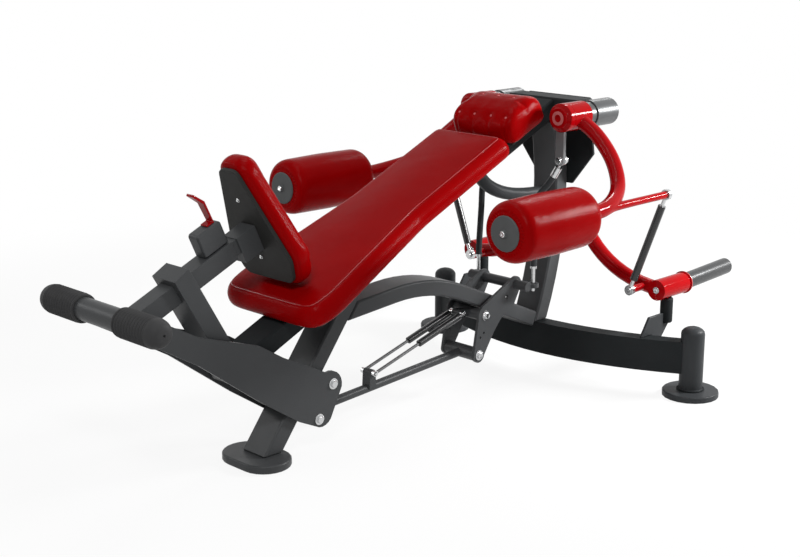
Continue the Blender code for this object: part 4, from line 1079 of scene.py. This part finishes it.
headPad = {
    "voxel": 0.0038, "cap": 0.005, "smooth": 5, "base": 0.8956,
    "middle": (0.044, 0.945), "endRadius": 0.034, "endShare": 0.60, "footShare": 0.60, "footFade": 0.030,
    "ease": 30, "rayFrom": 0.2, "trailSteps": 12, "trailStep": 0.0025,
    # Each row: the buttons' place, where their pleats run to, how deep all are drawn, and each button's y
    "rows": [
        ((-0.020, 0.986), (-0.049, 0.915), 1.0, (-0.096, -0.033, 0.033, 0.096)),
        ((0.071, 0.998), (0.132, 0.950), 0.25, (-0.064, 0.0, 0.064)),
    ],
    "pleat": 0.0022, "pleatWide": 0.0056, "dimple": 0.0046, "dimpleWide": 0.0125,
    "button": 0.0040, "buttonHigh": 0.0026, "buttonSunk": 0.002, "buttonSides": 24,
    "buttonShape": ((1, 0.35), (0.86, 0.74), (0.5, 0.95)),
}
rollerPad = {
    "start": 0.001, "voxel": 0.0048, "cap": 0.0015, "smooth": 10,
    "bore": 0.0165, "shoulder": 0.030, "shoulderIn": 0.002, "shoulderSteps": 7, "draw": 0.032, "sides": 96,
    "held": 0.056, "puckers": 38, "pucker": 0.0020, "puckerAt": 0.0600, "puckerWide": 0.0040, "crest": 0.6,
    "endReach": 0.034,
}


def inclineFrame(points):
    along, across = alongAcross(points)
    return along, points[:, 1], across


def seatFrame(points):
    along, across = alongAcross(points)
    return points[:, 1], across, along


def onSeat(y, across, along):
    return onIncline(along, y, across)


def makeBackCushion():
    outline = outlineOf("back_pad", backPad, inclineFrame)
    piece = boxedForm("backCushion", outline, backPad, onIncline)
    level = levelAt(outline, backPad["seamAt"])
    edge = outline["ring"] + outline["inward"] * backPad["seamIn"]
    line = resampled([onIncline(*place, level) for place in edge], backPad["seamStep"], True)

    def held(points):
        across = alongAcross(points)[1]
        onLevel = np.abs(across - level) < backPad["seamLevel"]
        onSeam = onLevel & (distanceTo(points, line) < backPad["seamHeld"])
        return (across < outline["low"] + padding["footHeld"]) | onSeam
    puffUp(piece, backPad, held)
    pinch(piece, line, backPad["pinch"], backPad["pinchWide"])
    dress(piece, "redVinyl", "frame")
    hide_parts("back_pad")
    welt("backWelt", surfaceAt(piece, line, backPad["welt"] * backPad["weltOut"]), backPad["welt"], "frame")


def makeSeatCushion():
    outline = outlineOf("seat_pad", seatPad, seatFrame)
    piece = boxedForm("seatCushion", outline, seatPad, onSeat)
    puffUp(piece, seatPad, lambda points: alongAcross(points)[0] < outline["low"] + padding["footHeld"])
    dress(piece, "redVinyl", "seat")
    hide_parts("seat_pad")


def onTop(tree, along, y, across):
    # Where a ray from outside the head pad, aimed at the middle of its roll, meets it
    down = Vector((headPad["middle"][0] - along, headPad["middle"][1] - across)).normalized()
    start = onIncline(along - down[0] * headPad["rayFrom"], y, across - down[1] * headPad["rayFrom"])
    way = onIncline(down[0], 0, down[1]) - onIncline(0, 0, 0)
    return tree.ray_cast(start, way.normalized())[0]


def roundEnds(piece):
    # Draws the roll's section in towards both ends, so that its end edges are round
    points = pointsOf(piece)
    along, across = alongAcross(points)
    middle, half, radius = headPad["middle"], np.abs(points[:, 1]).max(), headPad["endRadius"]
    past = np.clip(np.abs(points[:, 1]) - (half - radius), 0, radius)
    inset = radius - np.sqrt(radius ** 2 - past ** 2)
    away = np.hypot(along - middle[0], across - middle[1])
    scale = 1 - inset * headPad["endShare"] / np.maximum(away, radius)
    floor = np.clip((across - headPad["base"]) / headPad["footFade"], headPad["footShare"], 1)
    scale = 1 + (scale - 1) * floor
    for index in range(len(points)):
        points[index] = onIncline(
            middle[0] + (along[index] - middle[0]) * scale[index], points[index, 1],
            middle[1] + (across[index] - middle[1]) * scale[index])
    setPoints(piece, points)


def pleatLine(tree, first, last, y):
    # From a button's place to where its pleat runs out, on the surface
    line = []
    for step in range(headPad["trailSteps"] + 1):
        share = step / headPad["trailSteps"]
        along, across = (start + (end - start) * share for start, end in zip(first, last))
        place = onTop(tree, along, y, across)
        if place:
            line.append(place)
    return line


def tufted(piece):
    # Pleats and dimples drawn into the head pad; gives the places of its buttons
    tree = BVHTree.FromObject(piece, bpy.context.evaluated_depsgraph_get())
    buttons = []
    for first, last, depth, stations in headPad["rows"]:
        for y in stations:
            line = pleatLine(tree, first, last, y)
            buttons.append((line[0], depth))
            even = resampled(line, headPad["trailStep"], False)
            pinch(piece, even, headPad["pleat"] * depth, headPad["pleatWide"])
    for place, depth in buttons:
        pinch(piece, [place], headPad["dimple"] * depth, headPad["dimpleWide"])
    return [place for place, depth in buttons]


def makeHeadCushion():
    piece = copyOfNode("headCushion", "head_pad")
    applied(piece, "REMESH", mode="VOXEL", voxel_size=headPad["voxel"])
    applied(piece, "SMOOTH", factor=padding["smoothing"], iterations=headPad["ease"])
    roundEnds(piece)
    puffUp(piece, headPad, lambda points: alongAcross(points)[1] < headPad["base"] + padding["footHeld"])
    buttons = tufted(piece)
    dress(piece, "redVinyl", "frame")
    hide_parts("head_pad")
    tree = BVHTree.FromObject(piece, bpy.context.evaluated_depsgraph_get())
    radius, high, sunk = headPad["button"], headPad["buttonHigh"], headPad["buttonSunk"]
    crown = [(radius * out, high * up) for out, up in headPad["buttonShape"]]
    master = lathe("button", [(0, -sunk), (radius, -sunk), *crown, (0, high)], headPad["buttonSides"])
    # The buttons take the paler pink, so that they show as light dots
    fastened("headButtons", master, [tree.find_nearest(place)[:2] for place in buttons], "frame", "thread")
    drop(master)


def rollerProfile(radius, length):
    # From the bore at the front end, over the rounded shoulder, to the bore at the rear end
    flat, steps = radius - rollerPad["shoulder"], rollerPad["shoulderSteps"]
    out = rollerPad["shoulder"] - rollerPad["shoulderIn"]
    front = [(rollerPad["bore"], 0), (flat, 0)]
    for step in range(1, steps + 1):
        turn = math.pi / 2 * step / steps
        front.append((flat + out * math.sin(turn), rollerPad["draw"] * (1 - math.cos(turn))))
    rear = [(r, length - at) for r, at in reversed(front)]
    return front + [(radius, length / 2)] + rear + [front[0]]


def fromAxis(points, centre):
    return points[:, 1] - centre[0], points[:, 2] - centre[1]


def gatherEnds(piece, front, rear, centre):
    # Small folds of the fabric round both end discs
    points = pointsOf(piece)
    y, z = fromAxis(points, centre)
    along = points[:, 0] - (front + rear) / 2
    share = np.exp(-((np.hypot(y, z) - rollerPad["puckerAt"]) / rollerPad["puckerWide"]) ** 2)
    waves = np.cos(np.arctan2(z, y) * rollerPad["puckers"]) - rollerPad["crest"]
    folds = waves * rollerPad["pucker"] * share
    atEnds = np.abs(along) > (rear - front) / 2 - rollerPad["endReach"]
    points[:, 0] += np.where(atEnds, folds * np.sign(along), 0)
    setPoints(piece, points)


def makeRollerCushions():
    for side, sign in layout["sides"]:
        low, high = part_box(side + "_roller")
        centre = (sign * places["rollerY"], places["rollerZ"])
        radius = (high.z - low.z) / 2 - rollerPad["start"]
        profile = rollerProfile(radius, high.x - low.x)
        piece = lathe(side + "RollerCushion", profile, rollerPad["sides"])
        stand(piece, (low.x, *centre), (1, 0, 0))
        puffUp(piece, rollerPad, lambda points: np.hypot(*fromAxis(points, centre)) < rollerPad["held"])
        gatherEnds(piece, low.x, high.x, centre)
        dress(piece, "redVinyl", side + "_roller")
        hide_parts(side + "_roller")


makeBackCushion()
makeSeatCushion()
makeHeadCushion()
makeRollerCushions()
print("upholstery made")


# Floor and light
studio = {
    "floor": 60.0, "floorLevel": -0.0005, "floorColour": (0.86, 0.86, 0.86),
    "white": 0.88, "whiteFrom": 1.8, "whiteBy": 3.2, "ambient": 0.25,
    "lamps": [
        # name, place, aim, size across and up, watts
        ("sideLong", (2.10, -1.55, 1.45), (2.10, -0.30, 0.65), (1.30, 0.32), 140.0),
        ("rearTall", (2.60, 1.00, 2.60), (0, 0, 0.7), (0.60, 0.35), 12.0),
        ("keyBox", (-2.6, -2.0, 2.9), (0, 0, 0.5), (1.0, 0.5), 58.0),
        ("topSoft", (-0.2, 0.2, 3.2), (0, 0, 0.5), (2.4, 0.8), 24.0),
        ("farBox", (-2.2, 2.6, 1.8), (0, 0, 0.6), (1.0, 0.5), 12.0),
    ],
}


def whiteSeen(flow, matteShare):
    # 1 for camera, glossy and transmission rays, and the given share for all others
    rays = flow.node("ShaderNodeLightPath", {}, {}, "Is Camera Ray").socket.node.outputs
    seen = Flow(flow.tree, rays["Is Camera Ray"])
    for kind in ("Is Glossy Ray", "Is Transmission Ray"):
        seen = flow.maths("MAXIMUM", seen, Flow(flow.tree, rays[kind]))
    return seen * (1 - matteShare) + matteShare


def emptied(item):
    # A material or world with no nodes yet
    item.use_nodes = True
    item.node_tree.nodes.clear()
    return Flow(item.node_tree)


def sendTo(flow, kind, last):
    output = flow.tree.nodes.new(kind)
    flow.tree.links.new(last.socket, output.inputs["Surface"])


def makeFloor():
    deselectAll()
    bpy.ops.mesh.primitive_plane_add(size=studio["floor"], location=(0, 0, studio["floorLevel"]))
    floor = bpy.context.object
    floor.name = "studioFloor"
    material = bpy.data.materials.new("paleFloor")
    flow = emptied(material)
    where = flow.node("ShaderNodeTexCoord", {}, {}, "Object")
    far = flow.node("ShaderNodeVectorMath", {"operation": "LENGTH"}, {0: where}, "Value")
    fade = flow.node("ShaderNodeMapRange", {"interpolation_type": "SMOOTHSTEP"}, {
        "Value": far, "From Min": studio["whiteFrom"], "From Max": studio["whiteBy"],
        "To Min": studio["white"], "To Max": 1.0}, "Result")
    matte = flow.node("ShaderNodeBsdfDiffuse", {}, {"Color": tone(studio["floorColour"])})
    glow = flow.node("ShaderNodeEmission", {}, {"Color": (1, 1, 1, 1), "Strength": 1.0})
    mixed = flow.node("ShaderNodeMixShader", {}, {0: whiteSeen(flow, 0.0) * fade, 1: matte, 2: glow})
    sendTo(flow, "ShaderNodeOutputMaterial", mixed)
    floor.data.materials.append(material)


def makeWorld():
    world = bpy.context.scene.world or bpy.data.worlds.new("studio")
    bpy.context.scene.world = world
    flow = emptied(world)
    strength = whiteSeen(flow, studio["ambient"])
    sky = flow.node("ShaderNodeBackground", {}, {"Color": (1, 1, 1, 1), "Strength": strength})
    sendTo(flow, "ShaderNodeOutputWorld", sky)


def makeLamps():
    for name, place, aim, size, watts in studio["lamps"]:
        bpy.ops.object.light_add(type="AREA", location=place)
        lamp = bpy.context.object
        lamp.name = name
        lamp.data.shape = "RECTANGLE"
        lamp.data.size, lamp.data.size_y = size
        lamp.data.energy = watts
        lamp.rotation_euler = (Vector(aim) - Vector(place)).to_track_quat("-Z", "Y").to_euler()


makeFloor()
makeWorld()
makeLamps()
print("floor and lamps set")
